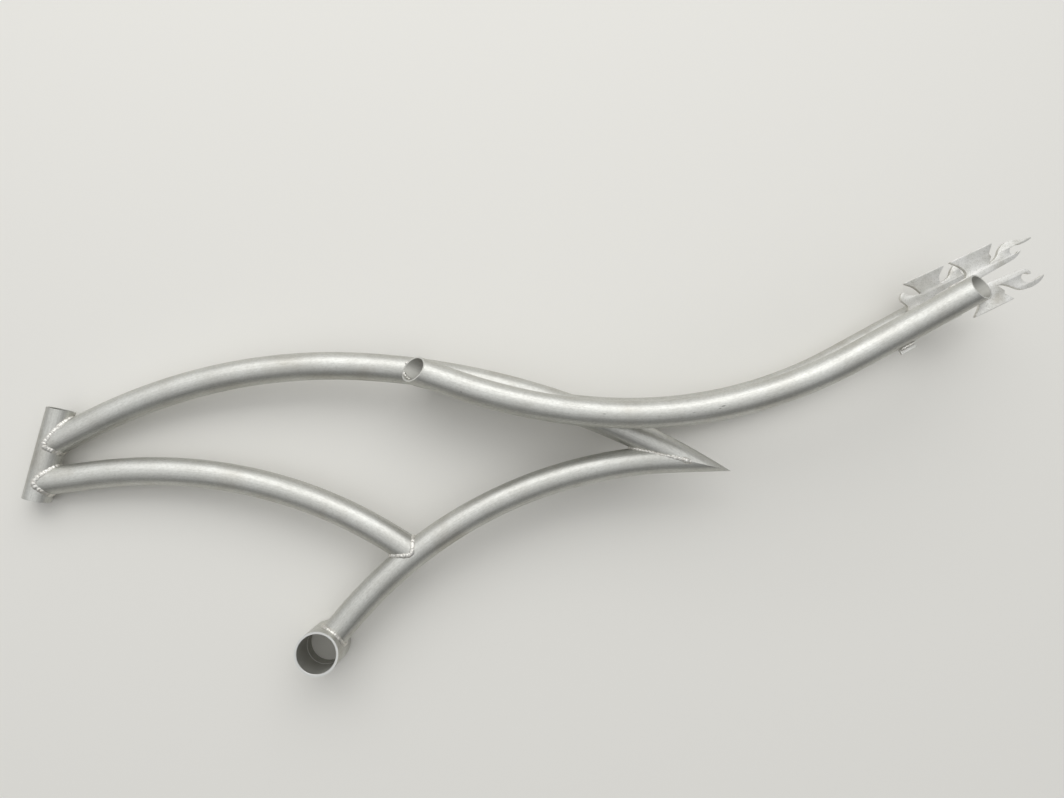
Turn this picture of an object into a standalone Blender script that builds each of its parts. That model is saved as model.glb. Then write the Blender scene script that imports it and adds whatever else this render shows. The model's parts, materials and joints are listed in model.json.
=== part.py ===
"""Bare welded steel bicycle frame with a long curved tail and flame-cut dropouts.

The frame is drawn in the plane of the bicycle, from the centre of the bottom bracket: x runs to the rear,
y up and z to the left side of the bicycle. It is then turned and lifted so that it lies on its right side,
as it comes to rest on the ground, with the origin under the middle of its box. Metres and degrees.
"""
import math

import bmesh
import bpy
from mathutils import Matrix, Vector, geometry

# Clearances
WELD_GAP = 0.0003               # between two pieces that a weld holds together
CUT_MARGIN = 0.010              # how far a cutter runs past what it cuts

# Head tube, with its axis in the plane of the bicycle
HEAD_TUBE_MIDDLE = (-0.3783, 0.2597)
HEAD_TUBE_ANGLE = 76.85
HEAD_TUBE_LENGTH = 0.1266
HEAD_TUBE_OD = 0.0364
HEAD_TUBE_WALL = 0.0020

# Bottom bracket shell, with its axis across the bicycle
BRACKET_BORE = 0.0513
BRACKET_WALL = 0.00335
BRACKET_WIDTH = 0.0730
BRACKET_SEAT_DEPTH = 0.0205     # of the machined seat for a bearing cup at each end
BRACKET_RELIEF = 0.0006         # how much deeper the bore is between the seats
RIM_CHAMFER = 0.0006            # at both ends of the head tube and of the shell

# Top tube: from the head tube over two bends to the joint at the tail
TOP_TUBE_OD = 0.0381
TOP_TUBE_WALL = 0.0020
TOP_TUBE_ABOVE_MIDDLE = 0.0147  # on the head tube's axis, from the middle of its length
TOP_TUBE_CORNERS = ((-0.1519, 0.3890), (0.3011, 0.3690))
TOP_TUBE_RADII = (0.716, 1.019)

# Seat tube: from the bottom bracket over one bend to the joint at the tail
SEAT_TUBE_OD = 0.0381
SEAT_TUBE_WALL = 0.0020
SEAT_TUBE_CORNERS = ((0.2090, 0.2456),)
SEAT_TUBE_RADII = (0.601,)
TAIL_JOINT = (0.4892, 0.2540)   # where the axes of the seat tube and the top tube cross

# Down tube: from the head tube over one bend to the seat tube
DOWN_TUBE_OD = 0.0381
DOWN_TUBE_WALL = 0.0020
DOWN_TUBE_BELOW_MIDDLE = 0.0384
DOWN_TUBE_CORNERS = ((-0.0782, 0.2629),)
DOWN_TUBE_RADII = (0.624,)
DOWN_TUBE_UP_SEAT_TUBE = 0.1747  # along the seat tube's axis from the bottom bracket

# Dropouts: flat plates cut to a flame, each with an open slot for the wheel's axle
AXLE = (0.8758, 0.4886)
DROPOUT_ANGLE = 25.83
DROPOUT_SPACING = 0.112
DROPOUT_THICKNESS = 0.006
AXLE_SLOT_WIDTH = 0.010

# Stays: from the sides of the top tube to the outer sides of the dropouts, left and right bent unlike
STAY_OD = 0.0370
STAY_WALL = 0.0020
STAY_ALONG_TOP_TUBE = 0.5164    # station of the stays' front ends on the top tube's axis
LEFT_STAY_CORNERS = ((0.2743, 0.3205), (0.5461, 0.3022))
LEFT_STAY_RADII = (0.746, 0.584)
LEFT_STAY_END = (-0.0199, -0.0047)   # from the axle, along the slot and across it
RIGHT_STAY_CORNERS = ((0.5081, 0.2804),)
RIGHT_STAY_RADII = (0.665,)
RIGHT_STAY_END = (-0.0199, -0.0098)
FLARE_START = 0.317             # along x, where the stays begin to part
FLARE_END = 0.780
FRONT_SCOOP = 0.030             # length of the slanted cut at each end of a stay
REAR_SCOOP = 0.038
FRONT_SCOOP_SETBACK = 0.0015
SCOOP_RISE = 10                 # how far the cuts face up, in degrees

# Tab for the coaster brake's arm, under the left stay
TAB_LENGTH = 0.022
TAB_DROP = 0.0077               # below the stay
TAB_THICKNESS = 0.0036
TAB_FROM_STAY_END = 0.124

# Weld beads
BEAD_RADIUS = 0.0029
BEAD_STEP = 0.0046              # from one ripple to the next
BEAD_RIPPLE = 0.10
BEAD_RING_SLANT = 1.15          # length of a slanted ring of bead as a share of the tube's girth
BEAD_SINK = 1.2                 # share of its radius that a bead sinks where two surfaces lie flush
CREASE_LIFT = 0.0016            # middle of a bead above the surfaces of a crease
STAY_WELD_START = -0.013        # in the creases between a stay and the top tube, from the stay's station 0
STAY_WELD_END = 0.020
DROPOUT_WELD_START = -0.024     # from the rear end of the stay's axis
DROPOUT_WELD_UPPER_END = 0.008
DROPOUT_WELD_LOWER_END = 0.013

# Bare steel
STEEL_COLOUR = (0.62, 0.62, 0.60, 1)
STEEL_ROUGHNESS = 0.42

# Faceting
TUBE_STEP = 0.045
OUTER_BEVEL_STEPS = 8           # a curve's bevel has twice this and four more sides
BORE_BEVEL_STEPS = 4
BEAD_BEVEL_STEPS = 1
TURNED_STEPS = 48
SLOT_STEPS = 6
CROTCH_STEPS = 20               # half way round the top tube
CURVE_STEPS = 3                 # between two points of a dropout's outline
SHARP_ANGLE = 50                # from which an edge is shaded sharp
MERGE_DISTANCE = 0.00001
SEARCH_STEPS = 40               # halvings, or steps along an axis, in a search for a station

# Outlines of the dropouts, from the axle, along the slot and across it. A point is a corner, round or a tip
CORNER, ROUND, TIP = "VECTOR", "AUTO", "TIP"
TIP_RADIUS = 0.0008
UPPER_FLAME = (
    (0.0420, 0.0074, CORNER), (0.0511, 0.0088, ROUND), (0.0608, 0.0143, TIP), (0.0535, 0.0135, ROUND),
    (0.0484, 0.0148, ROUND), (0.0475, 0.0204, ROUND), (0.0557, 0.0238, ROUND), (0.0692, 0.0215, ROUND),
    (0.0816, 0.0240, TIP), (0.0737, 0.0251, ROUND), (0.0657, 0.0281, ROUND), (0.0540, 0.0320, ROUND),
    (0.0430, 0.0317, ROUND), (0.0360, 0.0280, ROUND), (0.0280, 0.0208, ROUND),
)
LOWER_FLAME = (
    (0.0193, -0.0160, ROUND), (0.0274, -0.0224, ROUND), (0.0336, -0.0287, ROUND), (0.0393, -0.0325, ROUND),
    (0.0485, -0.0346, ROUND), (0.0552, -0.0349, ROUND), (0.0668, -0.0323, ROUND), (0.0737, -0.0274, TIP),
    (0.0600, -0.0284, ROUND), (0.0500, -0.0268, ROUND), (0.0455, -0.0225, ROUND), (0.0452, -0.0172, ROUND),
    (0.0512, -0.0145, ROUND), (0.0596, -0.0185, TIP), (0.0575, -0.0125, ROUND), (0.0504, -0.0083, ROUND),
    (0.0420, -0.0074, CORNER),
)
LEFT_BODY = (
    (0.0157, 0.0169, CORNER), (0.0224, 0.0241, CORNER), (0.0214, 0.0287, CORNER), (0.0310, 0.0394, TIP),
    (-0.0298, 0.0405, TIP), (-0.0219, 0.0307, ROUND), (-0.0175, 0.0200, ROUND), (-0.0200, 0.0145, ROUND),
    (-0.0280, 0.0125, ROUND), (-0.0450, 0.0115, ROUND), (-0.0490, 0.0070, ROUND), (-0.0490, -0.0150, ROUND),
    (-0.0450, -0.0195, ROUND), (-0.0270, -0.0200, ROUND), (-0.0200, -0.0225, ROUND),
    (-0.0230, -0.0283, ROUND), (-0.0335, -0.0382, TIP), (0.0234, -0.0383, TIP),
    (0.0155, -0.0273, CORNER), (0.0173, -0.0235, CORNER), (0.0123, -0.0139, CORNER),
)
RIGHT_BODY = (
    (0.0115, 0.0165, CORNER), (0.0160, 0.0273, ROUND), (0.0223, 0.0325, ROUND), (0.0288, 0.0381, TIP),
    (-0.0356, 0.0393, TIP), (-0.0258, 0.0287, ROUND), (-0.0196, 0.0157, CORNER), (-0.0314, 0.0179, ROUND),
    (-0.0375, 0.0220, ROUND), (-0.0417, 0.0276, ROUND), (-0.0467, 0.0270, ROUND), (-0.0511, 0.0205, ROUND),
    (-0.0483, 0.0126, ROUND), (-0.0465, 0.0070, ROUND), (-0.0485, 0.0010, ROUND), (-0.0490, -0.0190, ROUND),
    (-0.0450, -0.0240, ROUND), (-0.0280, -0.0250, ROUND), (-0.0210, -0.0270, ROUND),
    (-0.0250, -0.0315, ROUND), (-0.0350, -0.0388, TIP), (0.0190, -0.0388, TIP),
    (0.0130, -0.0280, ROUND), (0.0123, -0.0139, CORNER),
)

# Sides of the bicycle
LEFT, RIGHT = 1, -1


def along(heading):
    """Unit step in a heading."""
    return Vector((math.cos(heading), math.sin(heading)))


def across(heading):
    """Unit step to the left of a heading."""
    return Vector((-math.sin(heading), math.cos(heading)))


class TubeAxis:
    """Axis of a bent tube in the plane of the bicycle: straight runs, joined by an arc at each corner."""

    def __init__(self, start, corners, end, radii):
        points = [Vector(point) for point in (start, *corners, end)]
        legs = [after - before for before, after in zip(points, points[1:])]
        headings = [math.atan2(leg.y, leg.x) for leg in legs]
        turns = [after - before for before, after in zip(headings, headings[1:])]
        wanted = [radius * math.tan(abs(turn) / 2) for radius, turn in zip(radii, turns)]
        wanted = [0, *wanted, 0]
        room = [min(1, leg.length / (wanted[i] + wanted[i + 1])) for i, leg in enumerate(legs)]
        tangents = [0]
        for i, turn in enumerate(turns):
            tangents.append(wanted[i + 1] * min(room[i], room[i + 1]))
        tangents.append(0)
        self.start = points[0]
        self.heading = headings[0]
        self.runs = []
        for i, leg in enumerate(legs):
            self.runs.append((leg.length - tangents[i] - tangents[i + 1], 0))
            if i < len(turns):
                radius = tangents[i + 1] / math.tan(abs(turns[i]) / 2)
                self.runs.append((radius * abs(turns[i]), turns[i]))
        self.length = sum(length for length, turn in self.runs)

    def at(self, station):
        """Point and heading at a distance along the axis, which runs on straight past both ends."""
        place = self.start.copy()
        heading = self.heading
        left = station
        for length, turn in self.runs:
            if left <= 0 or length <= 0:
                continue
            share = min(left / length, 1)
            half = share * turn / 2
            chord = share * length * (math.sin(half) / half if half else 1)
            place += along(heading + half) * chord
            heading += 2 * half
            left -= share * length
        return place + along(heading) * left, heading

    def nearest(self, point):
        """Station nearest to a point that lies beside the axis."""
        station = self.length / 2
        for _ in range(SEARCH_STEPS):
            place, heading = self.at(station)
            station += (point - place).dot(along(heading))
        return station

    def beside(self, point):
        """Distance of a point to the left of the axis."""
        place, heading = self.at(self.nearest(point))
        return (point - place).dot(across(heading))


def stations(first, last, step):
    """Even stations from first to last, no further apart than a step."""
    count = math.ceil((last - first) / step)
    return [first + (last - first) * i / count for i in range(count + 1)]


def crossing(value, inner, outer):
    """Station between two others where a value changes sign: it is negative at the inner one."""
    for _ in range(SEARCH_STEPS):
        middle = (inner + outer) / 2
        if value(middle) < 0:
            inner = middle
        else:
            outer = middle
    return (inner + outer) / 2


def flat_route(axis, first, last):
    """Points of a tube that lies in the plane of the bicycle."""
    return [axis.at(station)[0].to_3d() for station in stations(first, last, TUBE_STEP)]


def half_width(x):
    """How far the stays' axes lie to a side: beside the top tube, then outside the dropouts."""
    front = TOP_TUBE_OD / 2 + WELD_GAP + STAY_OD / 2
    rear = DROPOUT_SPACING / 2 + DROPOUT_THICKNESS + WELD_GAP + STAY_OD / 2
    share = min(max((x - FLARE_START) / (FLARE_END - FLARE_START), 0), 1)
    return front + (rear - front) * share * share * (3 - 2 * share)


def stay_point(axis, side, station):
    """Point on the axis of a stay."""
    place = axis.at(station)[0]
    return Vector((place.x, place.y, side * half_width(place.x)))


def new_collection(name):
    """Collection under the scene's own."""
    collection = bpy.data.collections.new(name)
    bpy.context.scene.collection.children.link(collection)
    return collection


def steel(name):
    """Bare steel."""
    material = bpy.data.materials.new(name)
    material.use_nodes = True
    shader = material.node_tree.nodes["Principled BSDF"]
    shader.inputs["Base Color"].default_value = STEEL_COLOUR
    shader.inputs["Metallic"].default_value = 1
    shader.inputs["Roughness"].default_value = STEEL_ROUGHNESS
    return material


def place_object(name, data, collection):
    """Object in a collection, carried by the frame's axes."""
    thing = bpy.data.objects.new(name, data)
    collection.objects.link(thing)
    thing.parent = frame_axes
    if collection == cutters:
        thing.hide_render = True
        thing.display_type = "WIRE"
    else:
        data.materials.append(steel(name + "_steel"))
    return thing


def swept(name, route, radius, bevel_steps, collection, cyclic=False, ripple=0, tilt=0):
    """Solid of round section along a route, as a mesh with welded caps. The tilt turns its facets."""
    curve = bpy.data.curves.new(name + "_sweep", "CURVE")
    curve.dimensions = "3D"
    curve.bevel_depth = radius
    curve.bevel_resolution = bevel_steps
    curve.use_fill_caps = True
    spline = curve.splines.new("POLY")
    spline.points.add(len(route) - 1)
    spline.use_cyclic_u = cyclic
    for i, place in enumerate(route):
        spline.points[i].co = (*place, 1)
        spline.points[i].radius = 1 + ripple * (-1) ** i
        spline.points[i].tilt = tilt
    sweep = bpy.data.objects.new(name + "_sweep", curve)
    cutters.objects.link(sweep)
    evaluated = sweep.evaluated_get(bpy.context.evaluated_depsgraph_get())
    mesh = bpy.data.meshes.new_from_object(evaluated)
    bpy.data.objects.remove(sweep)
    tidy = bmesh.new()
    tidy.from_mesh(mesh)
    bmesh.ops.remove_doubles(tidy, verts=tidy.verts, dist=MERGE_DISTANCE)
    bmesh.ops.recalc_face_normals(tidy, faces=tidy.faces)
    tidy.to_mesh(mesh)
    tidy.free()
    mesh.name = name
    mesh.shade_smooth()
    mesh.set_sharp_from_angle(angle=math.radians(SHARP_ANGLE))
    return place_object(name, mesh, collection)


def cut(piece, *tools):
    """Take solids away from a piece."""
    for tool in tools:
        modifier = piece.modifiers.new(tool.name, "BOOLEAN")
        modifier.operation = "DIFFERENCE"
        modifier.solver = "EXACT"
        modifier.object = tool


def tube(name, route, diameter, wall, tilt=0):
    """Hollow tube along a route, open at both ends, and the solid that it fills with its clearance."""
    ahead = (route[0] - route[1]).normalized() * CUT_MARGIN
    behind = (route[-1] - route[-2]).normalized() * CUT_MARGIN
    bore_route = [route[0] + ahead, *route, route[-1] + behind]
    piece = swept(name, route, diameter / 2, OUTER_BEVEL_STEPS, frame, tilt=tilt)
    cut(piece, swept(name + "_bore", bore_route, diameter / 2 - wall, BORE_BEVEL_STEPS, cutters))
    reach = diameter / 2 + WELD_GAP
    envelope = swept(name + "_envelope", route, reach, OUTER_BEVEL_STEPS, cutters, tilt=tilt)
    return piece, envelope


def turned(name, outline, collection):
    """Body turned about its own z axis from an outline of radii and heights."""
    mesh = bpy.data.meshes.new(name)
    edges = [(i, (i + 1) % len(outline)) for i in range(len(outline))]
    mesh.from_pydata([(radius, 0, height) for radius, height in outline], edges, [])
    body = place_object(name, mesh, collection)
    screw = body.modifiers.new("turn", "SCREW")
    screw.steps = TURNED_STEPS
    screw.render_steps = TURNED_STEPS
    screw.use_merge_vertices = True
    screw.merge_threshold = MERGE_DISTANCE
    return body


def sleeve(name, outer, inner, length, relief=()):
    """Turned ring, chamfered inside at both rims. The relief is its bore's outline between two seats."""
    end = length / 2
    step = end - RIM_CHAMFER
    wide = inner + RIM_CHAMFER
    bore = ((wide, -end), (inner, -step), *relief, (inner, step), (wide, end))
    return turned(name, [(outer, end), (outer, -end), *bore], frame)


def rod(name, radius, length):
    """Solid cylinder about its own z axis, for cutting."""
    mesh = bpy.data.meshes.new(name)
    body = bmesh.new()
    size = {"radius1": radius, "radius2": radius, "depth": length}
    bmesh.ops.create_cone(body, cap_ends=True, segments=TURNED_STEPS, **size)
    body.to_mesh(mesh)
    body.free()
    return place_object(name, mesh, cutters)


def block(name, size, collection):
    """Box about its own centre."""
    mesh = bpy.data.meshes.new(name)
    body = bmesh.new()
    bmesh.ops.create_cube(body, size=1)
    bmesh.ops.scale(body, vec=size, verts=body.verts)
    body.to_mesh(mesh)
    body.free()
    return place_object(name, mesh, collection)


def slab(name, point, facing, reach):
    """Cutting block with one face through a point, which takes away what that face looks at."""
    body = block(name, (2 * reach, 2 * reach, reach), cutters)
    body.rotation_euler = facing.to_track_quat("Z", "Y").to_euler()
    body.location = point + facing.normalized() * reach / 2
    return body


def spin(degrees):
    """Turn about the z axis."""
    return Matrix.Rotation(math.radians(degrees), 4, "Z")


def lean(thing, middle, angle):
    """Lay a turned body's axis in the plane of the bicycle, at an angle to x."""
    thing.matrix_local = Matrix.Translation(middle) @ spin(angle) @ Matrix.Rotation(math.pi / 2, 4, "Y")


def skin(axis, radius, station, angle):
    """Point on a tube's surface and the way out of the tube there. The angle starts at the upper side."""
    place, heading = axis.at(station)
    out = (across(heading) * math.cos(angle)).to_3d()
    out.z = math.sin(angle)
    return place.to_3d() + out * radius, out


def meeting_ring(axis, radius, inner, outer, gap, angles):
    """Points where lines along a tube reach a neighbour, with the way out of the tube at each.

    The gap is negative inside the neighbour, at the station inner, and positive at the station outer.
    """
    ring = []
    for angle in angles:
        station = crossing(lambda at: gap(skin(axis, radius, at, angle)[0]), inner, outer)
        ring.append(skin(axis, radius, station, angle))
    return ring


def circle(count):
    """Even angles all the way round, none of them in the plane of the bicycle."""
    return [2 * math.pi * (i + 0.5) / count for i in range(count)]


def ring_count(diameter):
    """Even number of a bead's points round a tube."""
    return 2 * round(math.pi * diameter * BEAD_RING_SLANT / BEAD_STEP / 2)


def bead_line(ring, neighbour_out):
    """Middle line of a bead: sunk where the two surfaces lie flush, lifted where they make a corner."""
    line = []
    for point, out in ring:
        both = (out + neighbour_out(point)) / 2
        lift = BEAD_RADIUS * (1 - BEAD_SINK * both.length)
        line.append(point + both.normalized() * lift)
    return line


def bead(name, line, cyclic, *neighbours):
    """Rippled weld bead along a line, lying against its neighbours."""
    piece = swept(name, line, BEAD_RADIUS, BEAD_BEVEL_STEPS, frame, cyclic, BEAD_RIPPLE)
    cut(piece, *neighbours)
    return piece


def resample(line, step):
    """The same open line with even points."""
    lengths = [0]
    for before, after in zip(line, line[1:]):
        lengths.append(lengths[-1] + (after - before).length)
    result = []
    i = 0
    for station in stations(0, lengths[-1], step):
        while i < len(line) - 2 and lengths[i + 1] < station:
            i += 1
        share = (station - lengths[i]) / (lengths[i + 1] - lengths[i])
        result.append(line[i].lerp(line[i + 1], min(max(share, 0), 1)))
    return result


# Start from an empty scene
for thing in list(bpy.data.objects):
    bpy.data.objects.remove(thing)
frame = new_collection("bicycle_frame")
cutters = new_collection("cutters")
frame_axes = bpy.data.objects.new("frame_axes", None)
frame.objects.link(frame_axes)

# Axes of the tubes
head_middle = Vector(HEAD_TUBE_MIDDLE)
head_heading = math.radians(HEAD_TUBE_ANGLE)
tail_joint = Vector(TAIL_JOINT)
seat_axis = TubeAxis((0, 0), SEAT_TUBE_CORNERS, TAIL_JOINT, SEAT_TUBE_RADII)
top_start = head_middle + along(head_heading) * TOP_TUBE_ABOVE_MIDDLE
top_leg = tail_joint - Vector(TOP_TUBE_CORNERS[-1])
seat_leg = tail_joint - Vector(SEAT_TUBE_CORNERS[-1])
tail_angle = top_leg.angle(seat_leg)
tail_run_on = max(TOP_TUBE_OD, SEAT_TUBE_OD) / 2 / math.sin(tail_angle / 2) + CUT_MARGIN
top_end = tail_joint + top_leg.normalized() * tail_run_on
top_axis = TubeAxis(top_start, TOP_TUBE_CORNERS, top_end, TOP_TUBE_RADII)
down_start = head_middle - along(head_heading) * DOWN_TUBE_BELOW_MIDDLE
down_end = seat_axis.at(DOWN_TUBE_UP_SEAT_TUBE)[0]
down_axis = TubeAxis(down_start, DOWN_TUBE_CORNERS, down_end, DOWN_TUBE_RADII)
stay_front = top_axis.at(STAY_ALONG_TOP_TUBE)[0]
dropout_heading = math.radians(DROPOUT_ANGLE)


def from_axle(point):
    """Point in the plane of the bicycle, given along and across the axle slot."""
    return Vector(AXLE) + along(dropout_heading) * point[0] + across(dropout_heading) * point[1]


left_axis = TubeAxis(stay_front, LEFT_STAY_CORNERS, from_axle(LEFT_STAY_END), LEFT_STAY_RADII)
right_axis = TubeAxis(stay_front, RIGHT_STAY_CORNERS, from_axle(RIGHT_STAY_END), RIGHT_STAY_RADII)

# Head tube
head_tube = sleeve("head_tube", HEAD_TUBE_OD / 2, HEAD_TUBE_OD / 2 - HEAD_TUBE_WALL, HEAD_TUBE_LENGTH)
head_envelope = rod("head_tube_envelope", HEAD_TUBE_OD / 2 + WELD_GAP, HEAD_TUBE_LENGTH + 2 * CUT_MARGIN)
for thing in (head_tube, head_envelope):
    lean(thing, head_middle.to_3d(), HEAD_TUBE_ANGLE)
head_front = across(head_heading).to_3d()
past_head_axis = head_middle.to_3d() + head_front * WELD_GAP
ahead_of_head = slab("ahead_of_head_tube", past_head_axis, head_front, HEAD_TUBE_LENGTH)

# Bottom bracket shell
bracket_radius = BRACKET_BORE / 2 + BRACKET_WALL
bracket_seat = BRACKET_WIDTH / 2 - BRACKET_SEAT_DEPTH
bracket_step = (BRACKET_BORE / 2 + BRACKET_RELIEF, bracket_seat - BRACKET_RELIEF)
bracket_relief = [(BRACKET_BORE / 2, bracket_seat), bracket_step]
bracket_relief = [(radius, -height) for radius, height in bracket_relief] + bracket_relief[::-1]
sleeve("bottom_bracket_shell", bracket_radius, BRACKET_BORE / 2, BRACKET_WIDTH, bracket_relief)
bracket_envelope = rod("bottom_bracket_envelope", bracket_radius + WELD_GAP, BRACKET_WIDTH + 2 * CUT_MARGIN)

# Seat tube, from the shell to the tail, where it and the top tube are mitred on one plane
seat_route = flat_route(seat_axis, 0, seat_axis.length + tail_run_on)
half_facet = math.pi / (2 * OUTER_BEVEL_STEPS + 4)
seat_tube, seat_envelope = tube("seat_tube", seat_route, SEAT_TUBE_OD, SEAT_TUBE_WALL, half_facet)
top_station = top_axis.nearest(tail_joint)


def edge_gap(side):
    """How far an edge of the top tube lies above the opposite edge of the seat tube, at a station."""
    def gap(station):
        edge = skin(top_axis, TOP_TUBE_OD / 2, station, side)[0].to_2d()
        return seat_axis.beside(edge) + SEAT_TUBE_OD / 2 * math.cos(side)
    return gap


notch_station = crossing(edge_gap(math.pi), top_station, top_station - 3 * tail_run_on)
tip_station = crossing(lambda at: -edge_gap(0)(at), top_station, top_station + 3 * tail_run_on)
notch = skin(top_axis, TOP_TUBE_OD / 2, notch_station, math.pi)[0]
tip = skin(top_axis, TOP_TUBE_OD / 2, tip_station, 0)[0]
mitre_along = (tip - notch).normalized()
mitre_up = Vector((-mitre_along.y, mitre_along.x, 0))
mitre_point = (notch + tip) / 2
above_mitre = slab("above_mitre", mitre_point - mitre_up * WELD_GAP / 2, mitre_up, 2 * tail_run_on)
below_mitre = slab("below_mitre", mitre_point + mitre_up * WELD_GAP / 2, -mitre_up, 2 * tail_run_on)
cut(seat_tube, bracket_envelope, above_mitre)

# Top tube
top_route = flat_route(top_axis, -TOP_TUBE_OD, top_station + tail_run_on)
top_tube, top_envelope = tube("top_tube", top_route, TOP_TUBE_OD, TOP_TUBE_WALL)
cut(top_tube, head_envelope, ahead_of_head, below_mitre)

# Down tube
down_route = flat_route(down_axis, -DOWN_TUBE_OD, down_axis.length)
down_tube, down_envelope = tube("down_tube", down_route, DOWN_TUBE_OD, DOWN_TUBE_WALL)
cut(down_tube, head_envelope, ahead_of_head, seat_envelope)


def scoop(name, axis, side, station, length, facing, offset):
    """Slanted cut at an end of a stay, open to the outside. Facing is -1 at the front and 1 at the rear."""
    heading = axis.at(station)[1] + math.radians(SCOOP_RISE) * facing
    normal = along(heading).to_3d() * facing * STAY_OD
    normal.z = side * length
    point = stay_point(axis, side, station) + normal.normalized() * offset
    return slab(name, point, normal, 4 * STAY_OD)


def stay(name, axis, side):
    """One stay with its two scooped ends, and the solid that it fills with its clearance."""
    front = -FRONT_SCOOP / 2 - CUT_MARGIN
    rear = axis.length + REAR_SCOOP / 2 + CUT_MARGIN
    route = [stay_point(axis, side, station) for station in stations(front, rear, TUBE_STEP)]
    piece, envelope = tube(name, route, STAY_OD, STAY_WALL)
    for body, offset in ((piece, 0), (envelope, WELD_GAP)):
        ends = (("front", FRONT_SCOOP_SETBACK, FRONT_SCOOP, -1), ("rear", axis.length, REAR_SCOOP, 1))
        for end, station, length, facing in ends:
            cut(body, scoop(body.name + "_" + end + "_scoop", axis, side, station, length, facing, offset))
    return piece, envelope


left_stay, left_envelope = stay("left_stay", left_axis, LEFT)
right_stay, right_envelope = stay("right_stay", right_axis, RIGHT)


def with_round_tips(outline):
    """The same outline with three round points in place of each tip."""
    result = []
    for i, (x, y, form) in enumerate(outline):
        if form != TIP:
            result.append((x, y, form))
            continue
        tip = Vector((x, y))
        before = (Vector(outline[i - 1][:2]) - tip).normalized()
        after = (Vector(outline[(i + 1) % len(outline)][:2]) - tip).normalized()
        back = (before + after).normalized() * TIP_RADIUS
        beside = (before - after).normalized() * TIP_RADIUS
        result += [(*point, ROUND) for point in (tip + back + beside, tip, tip + back - beside)]
    return result


def dropout(name, body, side):
    """Flame-cut plate with its axle slot open to the rear."""
    curve = bpy.data.curves.new(name, "CURVE")
    curve.dimensions = "2D"
    curve.fill_mode = "BOTH"
    curve.extrude = DROPOUT_THICKNESS / 2
    curve.resolution_u = CURVE_STEPS
    slot = AXLE_SLOT_WIDTH / 2
    root = []
    for i in range(SLOT_STEPS + 1):
        angle = math.pi * (1.5 - i / SLOT_STEPS)
        root.append((slot * math.cos(angle), slot * math.sin(angle), CORNER))
    outline = with_round_tips((*root, *UPPER_FLAME, *body, *LOWER_FLAME))
    spline = curve.splines.new("BEZIER")
    spline.bezier_points.add(len(outline) - 1)
    spline.use_cyclic_u = True
    for knot, (x, y, form) in zip(spline.bezier_points, outline):
        knot.co = (x, y, 0)
        knot.handle_left_type = form
        knot.handle_right_type = form
    plate = place_object(name, curve, frame)
    plate.location = (*AXLE, side * (DROPOUT_SPACING + DROPOUT_THICKNESS) / 2)
    plate.rotation_euler.z = dropout_heading
    return plate


left_dropout = dropout("left_dropout", LEFT_BODY, LEFT)
right_dropout = dropout("right_dropout", RIGHT_BODY, RIGHT)

# Tab under the left stay
tab_station = left_axis.length - TAB_FROM_STAY_END
tab_height = STAY_OD / 2 + TAB_DROP
tab_place = stay_point(left_axis, LEFT, tab_station)
tab_heading = left_axis.at(tab_station)[1]
tab_tools = []
for name, grow, group in (("brake_arm_tab", 0, frame), ("brake_arm_tab_envelope", WELD_GAP, cutters)):
    size = (TAB_LENGTH + 2 * grow, tab_height + grow, TAB_THICKNESS + 2 * grow)
    body = block(name, size, group)
    body.location = tab_place - across(tab_heading).to_3d() * (tab_height + grow) / 2
    body.rotation_euler.z = tab_heading
    tab_tools.append(body)
brake_arm_tab, tab_envelope = tab_tools
cut(brake_arm_tab, left_envelope)

# Weld beads round the tubes that end on the head tube
ahead = across(head_heading)


def gap_to_head(point):
    """Distance behind the head tube's surface, or behind its axis beside it."""
    behind = (head_middle - point.to_2d()).dot(ahead)
    return behind - math.sqrt(max((HEAD_TUBE_OD / 2) ** 2 - point.z ** 2, 0))


def out_of_head(point):
    """Way out of the head tube's surface."""
    behind = (head_middle - point.to_2d()).dot(ahead)
    return Vector((-ahead.x * behind, -ahead.y * behind, point.z)).normalized()


for name, axis, diameter, envelope in (
    ("weld_top_tube_head", top_axis, TOP_TUBE_OD, top_envelope),
    ("weld_down_tube_head", down_axis, DOWN_TUBE_OD, down_envelope),
):
    angles = circle(ring_count(diameter))
    ring = meeting_ring(axis, diameter / 2, -diameter, 2 * diameter, gap_to_head, angles)
    bead(name, bead_line(ring, out_of_head), True, head_envelope, envelope)


# Weld bead between the down tube and the seat tube
def gap_to_seat_tube(point):
    """Distance in front of the seat tube's surface, or of its axis beside it."""
    return seat_axis.beside(point.to_2d()) - math.sqrt(max((SEAT_TUBE_OD / 2) ** 2 - point.z ** 2, 0))


def out_of_seat_tube(point):
    """Way out of the seat tube's surface."""
    place, heading = seat_axis.at(seat_axis.nearest(point.to_2d()))
    return (point - place.to_3d()).normalized()


ring = meeting_ring(down_axis, DOWN_TUBE_OD / 2, down_axis.length + DOWN_TUBE_OD,
                    down_axis.length - 2 * DOWN_TUBE_OD, gap_to_seat_tube, circle(ring_count(DOWN_TUBE_OD)))
bead("weld_down_tube_seat_tube", bead_line(ring, out_of_seat_tube), True, seat_envelope, down_envelope)


# Weld bead between the seat tube and the bottom bracket shell
def gap_to_bracket(point):
    """Distance outside the shell."""
    return point.to_2d().length - bracket_radius


def out_of_bracket(point):
    """Way out of the shell's surface."""
    return point.to_2d().normalized().to_3d()


angles = circle(ring_count(SEAT_TUBE_OD))
ring = meeting_ring(seat_axis, SEAT_TUBE_OD / 2, 0, 2 * bracket_radius, gap_to_bracket, angles)
bead("weld_seat_tube_bottom_bracket", bead_line(ring, out_of_bracket), True, bracket_envelope, seat_envelope)


# Weld bead along the mitre, from one side round the crotch to the other. Behind it the joint is ground smooth
def gap_to_mitre(point):
    """Distance above the mitre."""
    return (point - mitre_point).dot(mitre_up)


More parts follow.
